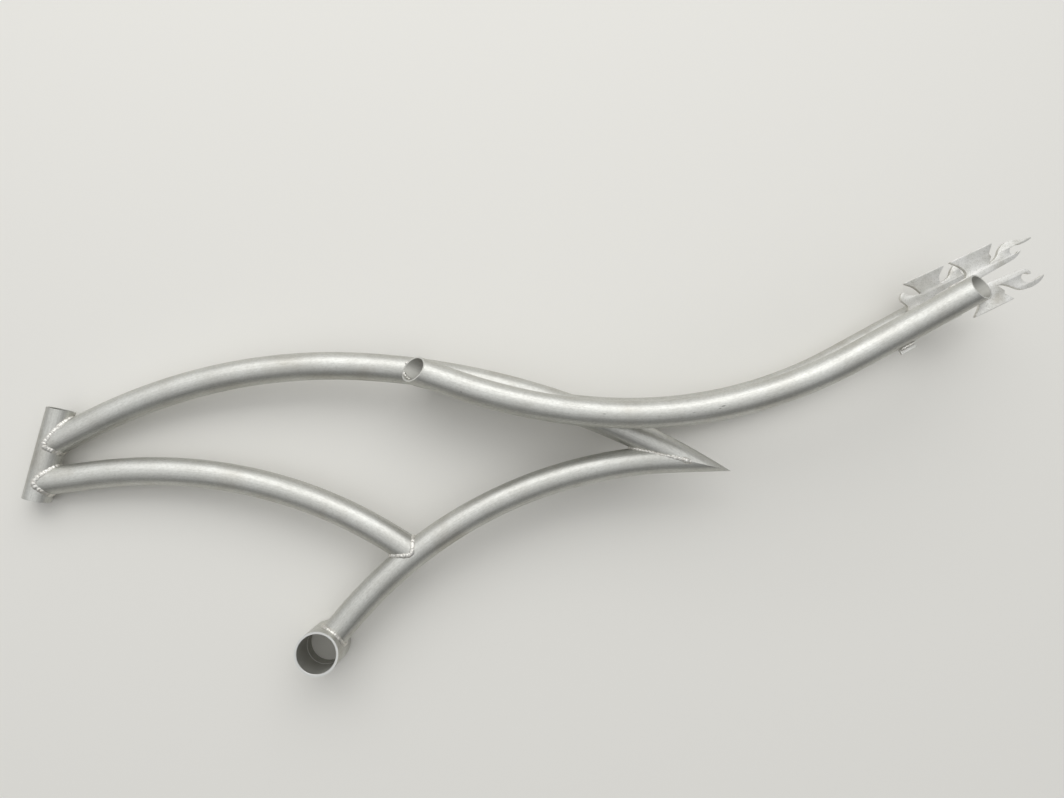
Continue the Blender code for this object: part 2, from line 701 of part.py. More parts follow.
crotch = [math.pi / 2 + math.pi * i / CROTCH_STEPS for i in range(CROTCH_STEPS + 1)]
ring = meeting_ring(top_axis, TOP_TUBE_OD / 2, top_station + tail_run_on, top_station - 2 * tail_run_on,
                    gap_to_mitre, crotch)
seam = resample(bead_line(ring, out_of_seat_tube), BEAD_STEP)
bead("weld_seat_tube_top_tube", seam, False, top_envelope, seat_envelope)


# Weld beads between the stays and the top tube
def crease_line(axis, side, upper):
    """Bead in the crease above or below the line where a stay lies on the top tube."""
    reach = TOP_TUBE_OD / 2 + CREASE_LIFT
    stay_reach = STAY_OD / 2 + CREASE_LIFT
    line = []
    for station in stations(STAY_WELD_START, STAY_WELD_END, BEAD_STEP):
        centre = stay_point(axis, side, station)
        place, heading = top_axis.at(top_axis.nearest(centre.to_2d()))
        toward = centre - place.to_3d()
        inward = (toward.length ** 2 + reach ** 2 - stay_reach ** 2) / 2 / toward.length
        toward.normalize()
        up = across(heading).to_3d()
        up = (up - toward * up.dot(toward)).normalized() * math.sqrt(reach ** 2 - inward ** 2)
        line.append(place.to_3d() + toward * inward + up * upper)
    return line


for name, axis, side, envelope in (
    ("weld_left_stay", left_axis, LEFT, left_envelope),
    ("weld_right_stay", right_axis, RIGHT, right_envelope),
):
    for word, upper in (("_top", 1), ("_front", -1)):
        bead(name + word, crease_line(axis, side, upper), False, top_envelope, envelope)


# Weld beads between the stays and the dropouts, on the plates' outer faces
def dropout_bead(name, axis, side, upper, end, envelope, plate_face):
    """Bead in the crease above or below the line where a stay lies on a plate."""
    depth = STAY_OD / 2 + WELD_GAP - CREASE_LIFT
    height = math.sqrt((STAY_OD / 2 + CREASE_LIFT) ** 2 - depth ** 2)
    line = []
    for station in stations(axis.length + DROPOUT_WELD_START, axis.length + end, BEAD_STEP):
        centre = stay_point(axis, side, station)
        up = across(axis.at(station)[1]).to_3d()
        line.append(centre + up * upper * height - Vector((0, 0, side * depth)))
    bead(name, line, False, envelope, plate_face)


for name, axis, side, envelope in (
    ("left", left_axis, LEFT, left_envelope),
    ("right", right_axis, RIGHT, right_envelope),
):
    outer_face = side * (DROPOUT_SPACING / 2 + DROPOUT_THICKNESS + WELD_GAP)
    face_point = Vector((*AXLE, outer_face))
    plate_face = slab(name + "_dropout_face", face_point, Vector((0, 0, -side)), DROPOUT_SPACING / 2)
    for word, upper, end in (("upper", 1, DROPOUT_WELD_UPPER_END), ("lower", -1, DROPOUT_WELD_LOWER_END)):
        dropout_bead("weld_" + name + "_dropout_" + word, axis, side, upper, end, envelope, plate_face)

# Weld bead on the outer side of the tab
tab_out = TAB_THICKNESS / 2 + CREASE_LIFT
tab_down = math.sqrt((STAY_OD / 2 + CREASE_LIFT) ** 2 - tab_out ** 2)
line = []
for station in stations(tab_station - TAB_LENGTH / 2, tab_station + TAB_LENGTH / 2, BEAD_STEP):
    down = across(left_axis.at(station)[1]).to_3d() * tab_down
    line.append(stay_point(left_axis, LEFT, station) - down + Vector((0, 0, tab_out)))
bead("weld_brake_arm_tab", line, False, left_envelope, tab_envelope)


# Lay the frame on its right side
def solid_points(piece, depsgraph):
    """Triangles of a finished piece, in the axes of the bicycle."""
    evaluated = piece.evaluated_get(depsgraph)
    mesh = evaluated.to_mesh()
    mesh.calc_loop_triangles()
    places = [piece.matrix_world @ vertex.co for vertex in mesh.vertices]
    triangles = [[places[i] for i in triangle.vertices] for triangle in mesh.loop_triangles]
    evaluated.to_mesh_clear()
    return triangles


def resting_matrix(pieces):
    """Turn and lift that lay the pieces on the face of their hull under the centre of mass."""
    bpy.context.view_layer.update()
    depsgraph = bpy.context.evaluated_depsgraph_get()
    triangles = [triangle for piece in pieces for triangle in solid_points(piece, depsgraph)]
    volume = 0
    moment = Vector((0, 0, 0))
    for a, b, c in triangles:
        part = a.dot(b.cross(c)) / 6
        volume += part
        moment += (a + b + c) / 4 * part
    centre = moment / volume
    hull = bmesh.new()
    for triangle in triangles:
        for corner in triangle:
            hull.verts.new(corner)
    bmesh.ops.remove_doubles(hull, verts=hull.verts, dist=MERGE_DISTANCE)
    result = bmesh.ops.convex_hull(hull, input=hull.verts)
    faces = [item for item in result["geom"] if isinstance(item, bmesh.types.BMFace)]
    bmesh.ops.triangulate(hull, faces=[face for face in faces if len(face.verts) > 3])
    down = Vector((0, 0, RIGHT))
    best = down
    best_score = 0
    for face in hull.faces:
        a, b, c = [vertex.co for vertex in face.verts]
        normal = (b - a).cross(c - a).normalized()
        if (a - centre).dot(normal) < 0:
            normal = -normal
        below = geometry.intersect_ray_tri(a, b, c, normal, centre, True)
        if below and normal.dot(down) > best_score:
            best = normal
            best_score = normal.dot(down)
    hull.free()
    turn = best.rotation_difference(Vector((0, 0, -1))).to_matrix().to_4x4()
    corners = [turn @ corner for triangle in triangles for corner in triangle]
    low = Vector([min(corner[i] for corner in corners) for i in range(3)])
    high = Vector([max(corner[i] for corner in corners) for i in range(3)])
    middle = (low + high) / 2
    return Matrix.Translation((-middle.x, -middle.y, -low.z)) @ turn


frame_axes.matrix_world = resting_matrix([thing for thing in frame.objects if thing.type != "EMPTY"])
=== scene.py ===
"""Looks of a bare welded steel bicycle frame: drawn tubes, flame-cut plates, weld beads and a studio stage.

The pieces are made in the plane of the bicycle, from the centre of the bottom bracket: x runs to the rear, y up and
z to the left side of the bicycle. They are then laid where the solids lie, on the frame's right side. Metres.
"""
import json
import math
from contextlib import contextmanager
from functools import cache

import bmesh
import bpy
import numpy
from mathutils import Matrix, Vector
from mathutils.kdtree import KDTree


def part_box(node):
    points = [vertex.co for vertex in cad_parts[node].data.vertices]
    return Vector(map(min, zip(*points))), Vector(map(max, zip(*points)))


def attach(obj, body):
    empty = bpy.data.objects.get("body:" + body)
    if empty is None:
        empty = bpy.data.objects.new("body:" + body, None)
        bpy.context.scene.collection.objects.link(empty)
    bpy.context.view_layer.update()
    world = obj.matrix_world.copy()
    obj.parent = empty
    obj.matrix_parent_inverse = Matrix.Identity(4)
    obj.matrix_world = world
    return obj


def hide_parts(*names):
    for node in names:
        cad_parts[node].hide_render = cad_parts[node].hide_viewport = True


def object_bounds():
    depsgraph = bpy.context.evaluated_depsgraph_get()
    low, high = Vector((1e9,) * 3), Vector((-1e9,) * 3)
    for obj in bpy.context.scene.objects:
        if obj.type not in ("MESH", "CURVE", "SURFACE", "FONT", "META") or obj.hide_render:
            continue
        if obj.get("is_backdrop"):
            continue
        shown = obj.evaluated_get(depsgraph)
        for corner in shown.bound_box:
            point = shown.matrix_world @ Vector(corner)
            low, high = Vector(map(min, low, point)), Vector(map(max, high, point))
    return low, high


bl_info = {
    "name": "Welded Bicycle Frame",
    "version": (1, 0, 0),
    "blender": (4, 5, 0),
    "location": "View3D > Sidebar > Bicycle",
    "description": "Dresses the solids of a bare steel bicycle frame and sets a stage round it",
    "category": "Object",
}

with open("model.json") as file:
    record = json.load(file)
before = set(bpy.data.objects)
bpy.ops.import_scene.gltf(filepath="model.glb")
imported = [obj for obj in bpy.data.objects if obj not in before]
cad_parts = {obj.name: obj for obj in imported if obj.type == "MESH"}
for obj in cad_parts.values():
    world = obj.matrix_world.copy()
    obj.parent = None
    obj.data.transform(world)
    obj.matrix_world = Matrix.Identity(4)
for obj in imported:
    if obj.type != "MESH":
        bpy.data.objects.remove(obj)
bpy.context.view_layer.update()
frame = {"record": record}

# Sizes that the solids have too
HEAD_MIDDLE = (-0.3783, 0.2597)
HEAD_ANGLE = 76.85
HEAD_LENGTH = 0.1266
HEAD_OD = 0.0364
WALL = 0.0020
SHELL_BORE = 0.0513
SHELL_WALL = 0.00335
SHELL_WIDTH = 0.0730
SHELL_SEAT_DEPTH = 0.0205
SHELL_RELIEF = 0.0006
RIM_CHAMFER = 0.0006
TUBE_OD = 0.0381
TOP_ABOVE_MIDDLE = 0.0147
TOP_CORNERS = ((-0.1519, 0.3890), (0.3011, 0.3690))
TOP_RADII = (0.716, 1.019)
SEAT_CORNERS = ((0.2090, 0.2456),)
SEAT_RADII = (0.601,)
TAIL_JOINT = (0.4892, 0.2540)
DOWN_BELOW_MIDDLE = 0.0384
DOWN_CORNERS = ((-0.0782, 0.2629),)
DOWN_RADII = (0.624,)
DOWN_UP_SEAT = 0.1747
AXLE = (0.8758, 0.4886)
SLOT_ANGLE = 25.83
DROPOUT_SPACING = 0.112
PLATE_THICKNESS = 0.006
SLOT_WIDTH = 0.010
STAY_OD = 0.0370
STAY_ALONG_TOP = 0.5164
LEFT_CORNERS = ((0.2743, 0.3205), (0.5461, 0.3022))
LEFT_RADII = (0.746, 0.584)
LEFT_END = (-0.0199, -0.0047)
RIGHT_CORNERS = ((0.5081, 0.2804),)
RIGHT_RADII = (0.665,)
RIGHT_END = (-0.0199, -0.0098)
FLARE_START = 0.317
FLARE_END = 0.780
FRONT_SCOOP = 0.030
REAR_SCOOP = 0.038
FRONT_SCOOP_SETBACK = 0.0015
SCOOP_RISE = 10
TAB_LENGTH = 0.022
TAB_DROP = 0.0077
TAB_THICKNESS = 0.0036
TAB_FROM_STAY_END = 0.124
WELD_GAP = 0.0003
BEAD_RADIUS = 0.0029
BEAD_SINK = 1.2
CREASE_LIFT = 0.0016
STAY_WELD = (-0.013, 0.020)
DROPOUT_WELD_START = -0.024
DROPOUT_WELD_ENDS = {"upper": 0.008, "lower": 0.013}

# Outlines of the dropouts in mm, from the axle, along the slot and across it. A knot with no word is round
CORNER, ROUND, TIP = "VECTOR", "AUTO", "TIP"
TIP_RADIUS = 0.0008
UPPER_FLAME = (
    (42, 7.4, CORNER), (51.1, 8.8), (60.8, 14.3, TIP), (53.5, 13.5), (48.4, 14.8), (47.5, 20.4), (55.7, 23.8),
    (69.2, 21.5), (81.6, 24, TIP), (73.7, 25.1), (65.7, 28.1), (54, 32), (43, 31.7), (36, 28), (28, 20.8),
)
LOWER_FLAME = (
    (19.3, -16), (27.4, -22.4), (33.6, -28.7), (39.3, -32.5), (48.5, -34.6), (55.2, -34.9), (66.8, -32.3),
    (73.7, -27.4, TIP), (60, -28.4), (50, -26.8), (45.5, -22.5), (45.2, -17.2), (51.2, -14.5), (59.6, -18.5, TIP),
    (57.5, -12.5), (50.4, -8.3), (42, -7.4, CORNER),
)
LEFT_BODY = (
    (15.7, 16.9, CORNER), (22.4, 24.1, CORNER), (21.4, 28.7, CORNER), (31, 39.4, TIP), (-29.8, 40.5, TIP),
    (-21.9, 30.7), (-17.5, 20), (-20, 14.5), (-28, 12.5), (-45, 11.5), (-49, 7), (-49, -15), (-45, -19.5),
    (-27, -20), (-20, -22.5), (-23, -28.3), (-33.5, -38.2, TIP), (23.4, -38.3, TIP), (15.5, -27.3, CORNER),
    (17.3, -23.5, CORNER), (12.3, -13.9, CORNER),
)
RIGHT_BODY = (
    (11.5, 16.5, CORNER), (16, 27.3), (22.3, 32.5), (28.8, 38.1, TIP), (-35.6, 39.3, TIP), (-25.8, 28.7),
    (-19.6, 15.7, CORNER), (-31.4, 17.9), (-37.5, 22), (-41.7, 27.6), (-46.7, 27), (-51.1, 20.5), (-48.3, 12.6),
    (-46.5, 7), (-48.5, 1), (-49, -19), (-45, -24), (-28, -25), (-21, -27), (-25, -31.5), (-35, -38.8, TIP),
    (19, -38.8, TIP), (13, -28), (12.3, -13.9, CORNER),
)

# Drops of weld metal at the left stay's mouth: along the stay, above its axis, out from it, and half their width
MOUTH_DROPS = (
    (-0.0095, -0.0090, -0.0127, 0.0024), (-0.0065, -0.0110, -0.0112, 0.0025), (-0.0030, -0.0128, -0.0088, 0.0022),
    (0.0005, -0.0141, -0.0062, 0.0019),
)
# Small nicks on the left stay, drawn as dark marks of painted shade and oxide: place, heading, length, width and
# darkness
NICKS = (
    ((0.3756, 0.3126, 0.0577), -0.06, 0.0060, 0.0018, 0.45), ((0.4898, 0.3139, 0.0692), 0.13, 0.0060, 0.0016, 0.40),
    ((0.5269, 0.3222, 0.0740), 0.20, 0.0070, 0.0017, 0.85), ((0.5225, 0.3190, 0.0735), 0.20, 0.0045, 0.0014, 0.60),
    ((0.1884, 0.3415, 0.0542), -0.32, 0.0030, 0.0022, 0.45), ((0.1028, 0.3780, 0.0561), -0.33, 0.0030, 0.0016, 0.50),
    ((0.1060, 0.3752, 0.0562), -0.33, 0.0020, 0.0014, 0.50),
)
# Each ring bead's width as a share of the solid one's, and how deep it is sunk below the solid one's line
RINGS = {
    "weld_top_tube_head": (1.80, 0.0029), "weld_down_tube_head": (1.80, 0.0029),
    "weld_down_tube_seat_tube": (1.45, 0.0016), "weld_seat_tube_bottom_bracket": (1.20, 0.0005),
}
CORNER_PASSES = 20
THIN_BEADS = ("weld_brake_arm_tab", "weld_seat_tube_top_tube")
# Flat bead over the middle of the tail's mitre, in angles round the top tube
SEAM_BEAD = (2.00, 1.48)
SEAM_BEAD_RADIUS = 0.0048
SEAM_BEAD_SINK = 0.0036

# Ripples of a weld: how many they wander by, how many they bow back by beside the crown, and their middle height
RIPPLE_WANDER = 2.5
RIPPLE_BOW = 0.8
RIPPLE_MIDDLE = 0.6
# Noises that make a weld wander and uneven, per metre, the share of the first in the lumps, and the middle of both
WANDER_SCALE = 160.0
LUMP_SCALE = 420.0
WANDER_IN_LUMPS = 1.4
LUMP_MIDDLE = 1.2
# Seeds of the beads that only this scene has
SEAM_SEED = 31.0
DROP_SEED = 40.0
# Width of an open bead's ends as a share of its own, and how many of its radii it widens over
BEAD_END = 0.35
BEAD_TAPER = 1.5

# How the pieces are made finer than the solids
BITE = 0.0005                   # how far a tube's end sinks into its neighbour, so that no gap shows
MITRE_OVERLAP = 0.00005         # of the top tube and the seat tube, on each side of the mitre
TUBE_TRIM = 0.002               # share of a tube's route by which its bore runs on at each end
WELD_STEP = 0.002
BEAD_SIDES = 28
SLEEVE_STEPS = 8
SLOT_STEPS = 12
KNOT_STEPS = 10
TURNED_MERGE = 0.00001
PLATE_MERGE = 0.000005
SEARCH_STEPS = 40
RING_STEPS = 90
MARGIN = 0.010
SHARP_ANGLE = 40
FACING = 0.9                    # how squarely a face looks out of a tube, or into its bore
OUTSIDE, IN_BORE, ON_END = 1.0, 0.5, 0.0

# Stage: the sky's strength on its dim and bright sides, the lamp, the floor and the camera
BRIGHT_WAY = (-0.15, 0.45, 0.88)
WORLD_LIGHT = (0.12, 1.12)
WORLD_COLOUR = (0.98, 0.99, 1.0, 1)
KEY_PLACE = (-0.2, 1.6, 1.7)
KEY_SIZE = (3.0, 1.6)
KEY_POWER = 19
FLOOR_REACH = 6
FLOOR_DROP = 0.0001
SENSOR_WIDTH = 36
LENS = 26.73
EYE = (0.2760, 0.2697, 1.085)
PHOTO_MIDDLE = (532, 399)
VANISHING_POINT = (528, 447)
FOCAL_LENGTH = 790


# Lines and curves in the plane of the bicycle
def along(heading):
    """Unit step in a heading."""
    return Vector((math.cos(heading), math.sin(heading)))


def across(heading):
    """Unit step to the left of a heading."""
    return Vector((-math.sin(heading), math.cos(heading)))


class TubeAxis:
    """Axis of a bent tube: straight runs, joined by an arc at each corner."""

    def __init__(self, start, corners, end, radii):
        points = [Vector(point) for point in (start, *corners, end)]
        legs = [after - before for before, after in zip(points, points[1:])]
        headings = [math.atan2(leg.y, leg.x) for leg in legs]
        turns = [after - before for before, after in zip(headings, headings[1:])]
        wanted = [0, *(radius * math.tan(abs(turn) / 2) for radius, turn in zip(radii, turns)), 0]
        room = [min(1, leg.length / (wanted[i] + wanted[i + 1])) for i, leg in enumerate(legs)]
        tangents = [0, *(wanted[i + 1] * min(room[i], room[i + 1]) for i in range(len(turns))), 0]
        self.start = points[0]
        self.heading = headings[0]
        self.runs = []
        for i, leg in enumerate(legs):
            self.runs.append((leg.length - tangents[i] - tangents[i + 1], 0))
            if i < len(turns):
                self.runs.append((tangents[i + 1] / math.tan(abs(turns[i]) / 2) * abs(turns[i]), turns[i]))
        self.length = sum(length for length, turn in self.runs)

    def at(self, station):
        """Point and heading at a distance along the axis, which runs on straight past both ends."""
        place = self.start.copy()
        heading = self.heading
        left = station
        for length, turn in self.runs:
            if left <= 0 or length <= 0:
                continue
            share = min(left / length, 1)
            half = share * turn / 2
            place += along(heading + half) * share * length * (math.sin(half) / half if half else 1)
            heading += 2 * half
            left -= share * length
        return place + along(heading) * left, heading

    def nearest(self, point):
        """Station nearest to a point that lies beside the axis."""
        station = self.length / 2
        for _ in range(SEARCH_STEPS):
            place, heading = self.at(station)
            station += (point - place).dot(along(heading))
        return station

    def beside(self, point):
        """Distance of a point to the left of the axis."""
        place, heading = self.at(self.nearest(point))
        return (point - place).dot(across(heading))


def stations(first, last, step):
    """Even stations from first to last, no further apart than a step."""
    count = math.ceil((last - first) / step)
    return [first + (last - first) * i / count for i in range(count + 1)]


def crossing(value, inner, outer):
    """Station between two others where a value changes sign: it is negative at the inner one."""
    for _ in range(SEARCH_STEPS):
        middle = (inner + outer) / 2
        if value(middle) < 0:
            inner = middle
        else:
            outer = middle
    return (inner + outer) / 2


def half_width(x):
    """How far the stays' axes lie to a side: beside the top tube, then outside the dropouts."""
    front = TUBE_OD / 2 + WELD_GAP + STAY_OD / 2
    rear = DROPOUT_SPACING / 2 + PLATE_THICKNESS + WELD_GAP + STAY_OD / 2
    share = min(max((x - FLARE_START) / (FLARE_END - FLARE_START), 0), 1)
    return front + (rear - front) * share * share * (3 - 2 * share)


def stay_point(axis, side, station):
    """Point on the axis of a stay."""
    place = axis.at(station)[0]
    return Vector((place.x, place.y, side * half_width(place.x)))


def skin(axis, radius, station, angle):
    """Point on a tube's surface and the way out of the tube there. The angle starts at the upper side."""
    place, heading = axis.at(station)
    out = (across(heading) * math.cos(angle)).to_3d()
    out.z = math.sin(angle)
    return place.to_3d() + out * radius, out


head_middle = Vector(HEAD_MIDDLE)
head_heading = math.radians(HEAD_ANGLE)
slot_heading = math.radians(SLOT_ANGLE)
shell_radius = SHELL_BORE / 2 + SHELL_WALL
tail_joint = Vector(TAIL_JOINT)
seat_axis = TubeAxis((0, 0), SEAT_CORNERS, TAIL_JOINT, SEAT_RADII)
top_leg = tail_joint - Vector(TOP_CORNERS[-1])
tail_angle = top_leg.angle(tail_joint - Vector(SEAT_CORNERS[-1]))
tail_run_on = TUBE_OD / 2 / math.sin(tail_angle / 2) + MARGIN
top_end = tail_joint + top_leg.normalized() * tail_run_on
top_axis = TubeAxis(head_middle + along(head_heading) * TOP_ABOVE_MIDDLE, TOP_CORNERS, top_end, TOP_RADII)
down_start = head_middle - along(head_heading) * DOWN_BELOW_MIDDLE
down_axis = TubeAxis(down_start, DOWN_CORNERS, seat_axis.at(DOWN_UP_SEAT)[0], DOWN_RADII)
stay_front = top_axis.at(STAY_ALONG_TOP)[0]


def from_axle(point):
    """Point in the plane of the bicycle, given along and across the axle slot."""
    return Vector(AXLE) + along(slot_heading) * point[0] + across(slot_heading) * point[1]


stay_axes = {
    1: TubeAxis(stay_front, LEFT_CORNERS, from_axle(LEFT_END), LEFT_RADII),
    -1: TubeAxis(stay_front, RIGHT_CORNERS, from_axle(RIGHT_END), RIGHT_RADII),
}
top_station = top_axis.nearest(tail_joint)


def edge_gap(side):
    """How far an edge of the top tube lies above the opposite edge of the seat tube, at a station."""
    return lambda station: (seat_axis.beside(skin(top_axis, TUBE_OD / 2, station, side)[0].to_2d())
                            + TUBE_OD / 2 * math.cos(side))


notch_station = crossing(edge_gap(math.pi), top_station, top_station - 3 * tail_run_on)
tip_station = crossing(lambda at: -edge_gap(0)(at), top_station, top_station + 3 * tail_run_on)
notch = skin(top_axis, TUBE_OD / 2, notch_station, math.pi)[0]
tip = skin(top_axis, TUBE_OD / 2, tip_station, 0)[0]
mitre_up = Vector((-(tip - notch).normalized().y, (tip - notch).normalized().x, 0))
mitre_point = (notch + tip) / 2


def lying_matrix():
    """Where the solids lie: from the bicycle's own axes to the world."""
    mounts = {mount["name"]: mount for mount in frame["record"]["mounts"]}
    left = Vector(mounts["bottom_bracket_left_face"]["axis"]).normalized()
    centre = sum(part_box("bottom_bracket_shell"), Vector()) / 2
    toward = sum(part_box("head_tube"), Vector()) / 2 - centre
    toward = (toward - left * toward.dot(left)).normalized()
    beside = left.cross(toward)
    angle = math.atan2(HEAD_MIDDLE[1], HEAD_MIDDLE[0])
    rear = toward * math.cos(angle) - beside * math.sin(angle)
    up = left.cross(rear)
    return Matrix.Translation(centre) @ Matrix((rear, up, left)).transposed().to_4x4()


lying = lying_matrix()


# Node trees
def add(tree, kind, inputs=(), **settings):
    """Node with its settings, and its inputs linked to a socket or set to a value."""
    new = tree.nodes.new(kind)
    for name, value in settings.items():
        setattr(new, name, value)
    for key, value in dict(inputs).items():
        if isinstance(value, bpy.types.NodeSocket):
            tree.links.new(value, new.inputs[key])
        else:
            new.inputs[key].default_value = value
    return new


def geometry_tree(name, lengths, counts):
    """Empty tree of Geometry Nodes with a route, sizes and a material as named inputs.

    Returns the tree, the inputs and the route as a curve.
    """
    tree = bpy.data.node_groups.new(name, "GeometryNodeTree")
    tree.interface.new_socket("Geometry", in_out="OUTPUT", socket_type="NodeSocketGeometry")
    kinds = {"Route": "Geometry", **dict.fromkeys(lengths, "Float"), **dict.fromkeys(counts, "Int"),
             "Material": "Material"}
    for socket, kind in kinds.items():
        tree.interface.new_socket(socket, in_out="INPUT", socket_type=f"NodeSocket{kind}")
    given = add(tree, "NodeGroupInput").outputs
    return tree, given, add(tree, "GeometryNodeMeshToCurve", {"Mesh": given["Route"]}).outputs[0]


def end_tree(tree, geometry, material):
    """Realize the instances, set the material and end the tree."""
    real = add(tree, "GeometryNodeRealizeInstances", {"Geometry": geometry})
    coated = add(tree, "GeometryNodeSetMaterial", {"Geometry": real.outputs[0], "Material": material})
    add(tree, "NodeGroupOutput", {"Geometry": coated.outputs[0]})


def swept(tree, curve, radius, sides, scale=1.0):
    """Solid sweep of a circle along a curve."""
    circle = add(tree, "GeometryNodeCurvePrimitiveCircle", {"Resolution": sides, "Radius": radius})
    return add(tree, "GeometryNodeCurveToMesh", {"Curve": curve, "Profile Curve": circle.outputs[0], "Scale": scale,
                                                 "Fill Caps": True}).outputs[0]


@cache
def tube_tree():
    """Tube along a route: a round sweep, less the sweep of its bore."""
    tree, given, rail = geometry_tree("drawn tube", ("Radius", "Bore Radius"), ("Sides", "Bore Sides"))
    short = add(tree, "GeometryNodeTrimCurve", {"Curve": rail, "Start": TUBE_TRIM, "End": 1 - TUBE_TRIM},
                mode="FACTOR")
    outer = swept(tree, short.outputs[0], given["Radius"], given["Sides"])
    bore = swept(tree, rail, given["Bore Radius"], given["Bore Sides"])
    hollow = add(tree, "GeometryNodeMeshBoolean", {"Mesh 1": outer, "Mesh 2": bore}, operation="DIFFERENCE",
                 solver="EXACT")
    end_tree(tree, hollow.outputs[0], given["Material"])
    return tree


@cache
def rod_tree():
    """Solid rod along a route."""
    tree, given, rail = geometry_tree("rod", ("Radius",), ("Sides",))
    end_tree(tree, swept(tree, rail, given["Radius"], given["Sides"]), given["Material"])
    return tree


@cache
def bead_tree():
    """Weld bead along a route: a rod whose upper side is rippled like a row of laid-over coins, and uneven.

    The route's points carry the way out of the crease and the bead's width there.
    """
    tree, given, rail = geometry_tree(
        "weld bead", ("Radius", "Ripple Pitch", "Ripple Depth", "Unevenness", "Seed", "Step"), ("Sides",))

    def maths(operation, *values):
        """Result of a calculation on numbers."""
        return add(tree, "ShaderNodeMath", enumerate(values), operation=operation).outputs[0]

    def vector(operation, *values):
        """Outputs of a calculation on vectors."""
        return add(tree, "ShaderNodeVectorMath", enumerate(values), operation=operation).outputs

    def stored(name, kind="FLOAT"):
        """What a route's point carries."""
        return add(tree, "GeometryNodeInputNamedAttribute", {"Name": name}, data_type=kind).outputs[0]

    def noise(where, scale, detail, **more):
        """Noise of this bead's own seed."""
        inputs = {"Vector": where, "W": given["Seed"], "Scale": scale, "Detail": detail, **more}
        return add(tree, "ShaderNodeTexNoise", inputs, noise_dimensions="4D").outputs[0]

    place = add(tree, "GeometryNodeInputPosition").outputs[0]
    rail = add(tree, "GeometryNodeResampleCurve", {"Curve": rail, "Length": given["Step"]}, mode="LENGTH").outputs[0]
    length = add(tree, "GeometryNodeSplineParameter").outputs["Length"]
    for name, value, kind in (("run", length, "FLOAT"), ("core", place, "FLOAT_VECTOR")):
        rail = add(tree, "GeometryNodeStoreNamedAttribute", {"Geometry": rail, "Name": name, "Value": value},
                   data_type=kind, domain="POINT").outputs[0]
    sweep = swept(tree, rail, given["Radius"], given["Sides"], stored("width"))
    middle = stored("core", "FLOAT_VECTOR")
    from_middle = vector("SUBTRACT", place, middle)[0]
    height = vector("DOT_PRODUCT", from_middle, stored("out", "FLOAT_VECTOR"))["Value"]
    size = vector("LENGTH", from_middle)["Value"]
    beside = maths("SUBTRACT", *(maths("POWER", maths("DIVIDE", value, given["Radius"]), 2)
                                 for value in (size, height)))
    wander = noise(middle, WANDER_SCALE, 1.0)
    phase = maths("DIVIDE", stored("run"), given["Ripple Pitch"])
    phase = maths("SUBTRACT", maths("ADD", phase, maths("MULTIPLY", wander, RIPPLE_WANDER)),
                  maths("MULTIPLY", beside, RIPPLE_BOW))
    ripple = maths("ABSOLUTE", maths("SINE", maths("MULTIPLY", phase, math.pi)))
    ripple = maths("MULTIPLY", maths("SUBTRACT", ripple, RIPPLE_MIDDLE), given["Ripple Depth"])
    lumps = maths("ADD", noise(place, LUMP_SCALE, 3.0, Roughness=0.55), maths("MULTIPLY", wander, WANDER_IN_LUMPS))
    lumps = maths("MULTIPLY", maths("SUBTRACT", lumps, LUMP_MIDDLE), given["Unevenness"])
    normal = add(tree, "GeometryNodeInputNormal").outputs[0]
    offset = add(tree, "ShaderNodeVectorMath", {0: normal, "Scale": maths("ADD", ripple, lumps)}, operation="SCALE")
    moved = add(tree, "GeometryNodeSetPosition", {"Geometry": sweep, "Offset": offset.outputs[0]})
    end_tree(tree, moved.outputs[0], given["Material"])
    return tree


# Meshes
def finished(thing):
    """Plain mesh of an object with its modifiers applied. The object goes."""
    evaluated = thing.evaluated_get(bpy.context.evaluated_depsgraph_get())
    mesh = bpy.data.meshes.new_from_object(evaluated)
    old = thing.data
    bpy.data.objects.remove(thing)
    (bpy.data.meshes if isinstance(old, bpy.types.Mesh) else bpy.data.curves).remove(old)
    return mesh


@contextmanager
def reworked(mesh):
    """Body of a mesh to work on, which is written back at the end."""
    body = bmesh.new()
    body.from_mesh(mesh)
    yield body
    body.to_mesh(mesh)
    body.free()


def loose(name, data):
    """Object that carries data for a moment."""
    thing = bpy.data.objects.new(name, data)
    bpy.context.scene.collection.objects.link(thing)
    return thing


def polyline(name, points, cyclic=False, **carried):
    """Mesh of a line, whose points may carry numbers or vectors."""
    mesh = bpy.data.meshes.new(name)
    edges = [(i, i + 1) for i in range(len(points) - 1)]
    if cyclic:
        edges.append((len(points) - 1, 0))
    mesh.from_pydata(points, edges, [])
    for word, values in carried.items():
        vectors = hasattr(values[0], "__len__")
        attribute = mesh.attributes.new(word, "FLOAT_VECTOR" if vectors else "FLOAT", "POINT")
        flat = [number for value in values for number in value] if vectors else values
        attribute.data.foreach_set("vector" if vectors else "value", flat)
    return mesh


def grown(name, route, tree, sizes):
    """Mesh that a node tree makes from a route."""
    thing = loose(name, route)
    modifier = thing.modifiers.new(tree.name, "NODES")
    modifier.node_group = tree
    for socket in tree.interface.items_tree:
        if socket.in_out == "INPUT" and socket.name in sizes:
            modifier[socket.identifier] = sizes[socket.name]
    return finished(thing)


def tube_mesh(name, route, radius, wall):
    """Hollow tube along a route."""
    look = bpy.context.scene.bicycle_sizes
    sizes = {"Radius": radius, "Bore Radius": radius - wall, "Sides": look.tube_sides, "Bore Sides": look.bore_sides}
    return grown(name, polyline(name, route), tube_tree(), sizes)


def rod_mesh(name, route, radius):
    """Solid rod along a route, to cut with."""
    sizes = {"Radius": radius, "Sides": bpy.context.scene.bicycle_sizes.tube_sides}
    return grown(name, polyline(name, route), rod_tree(), sizes)


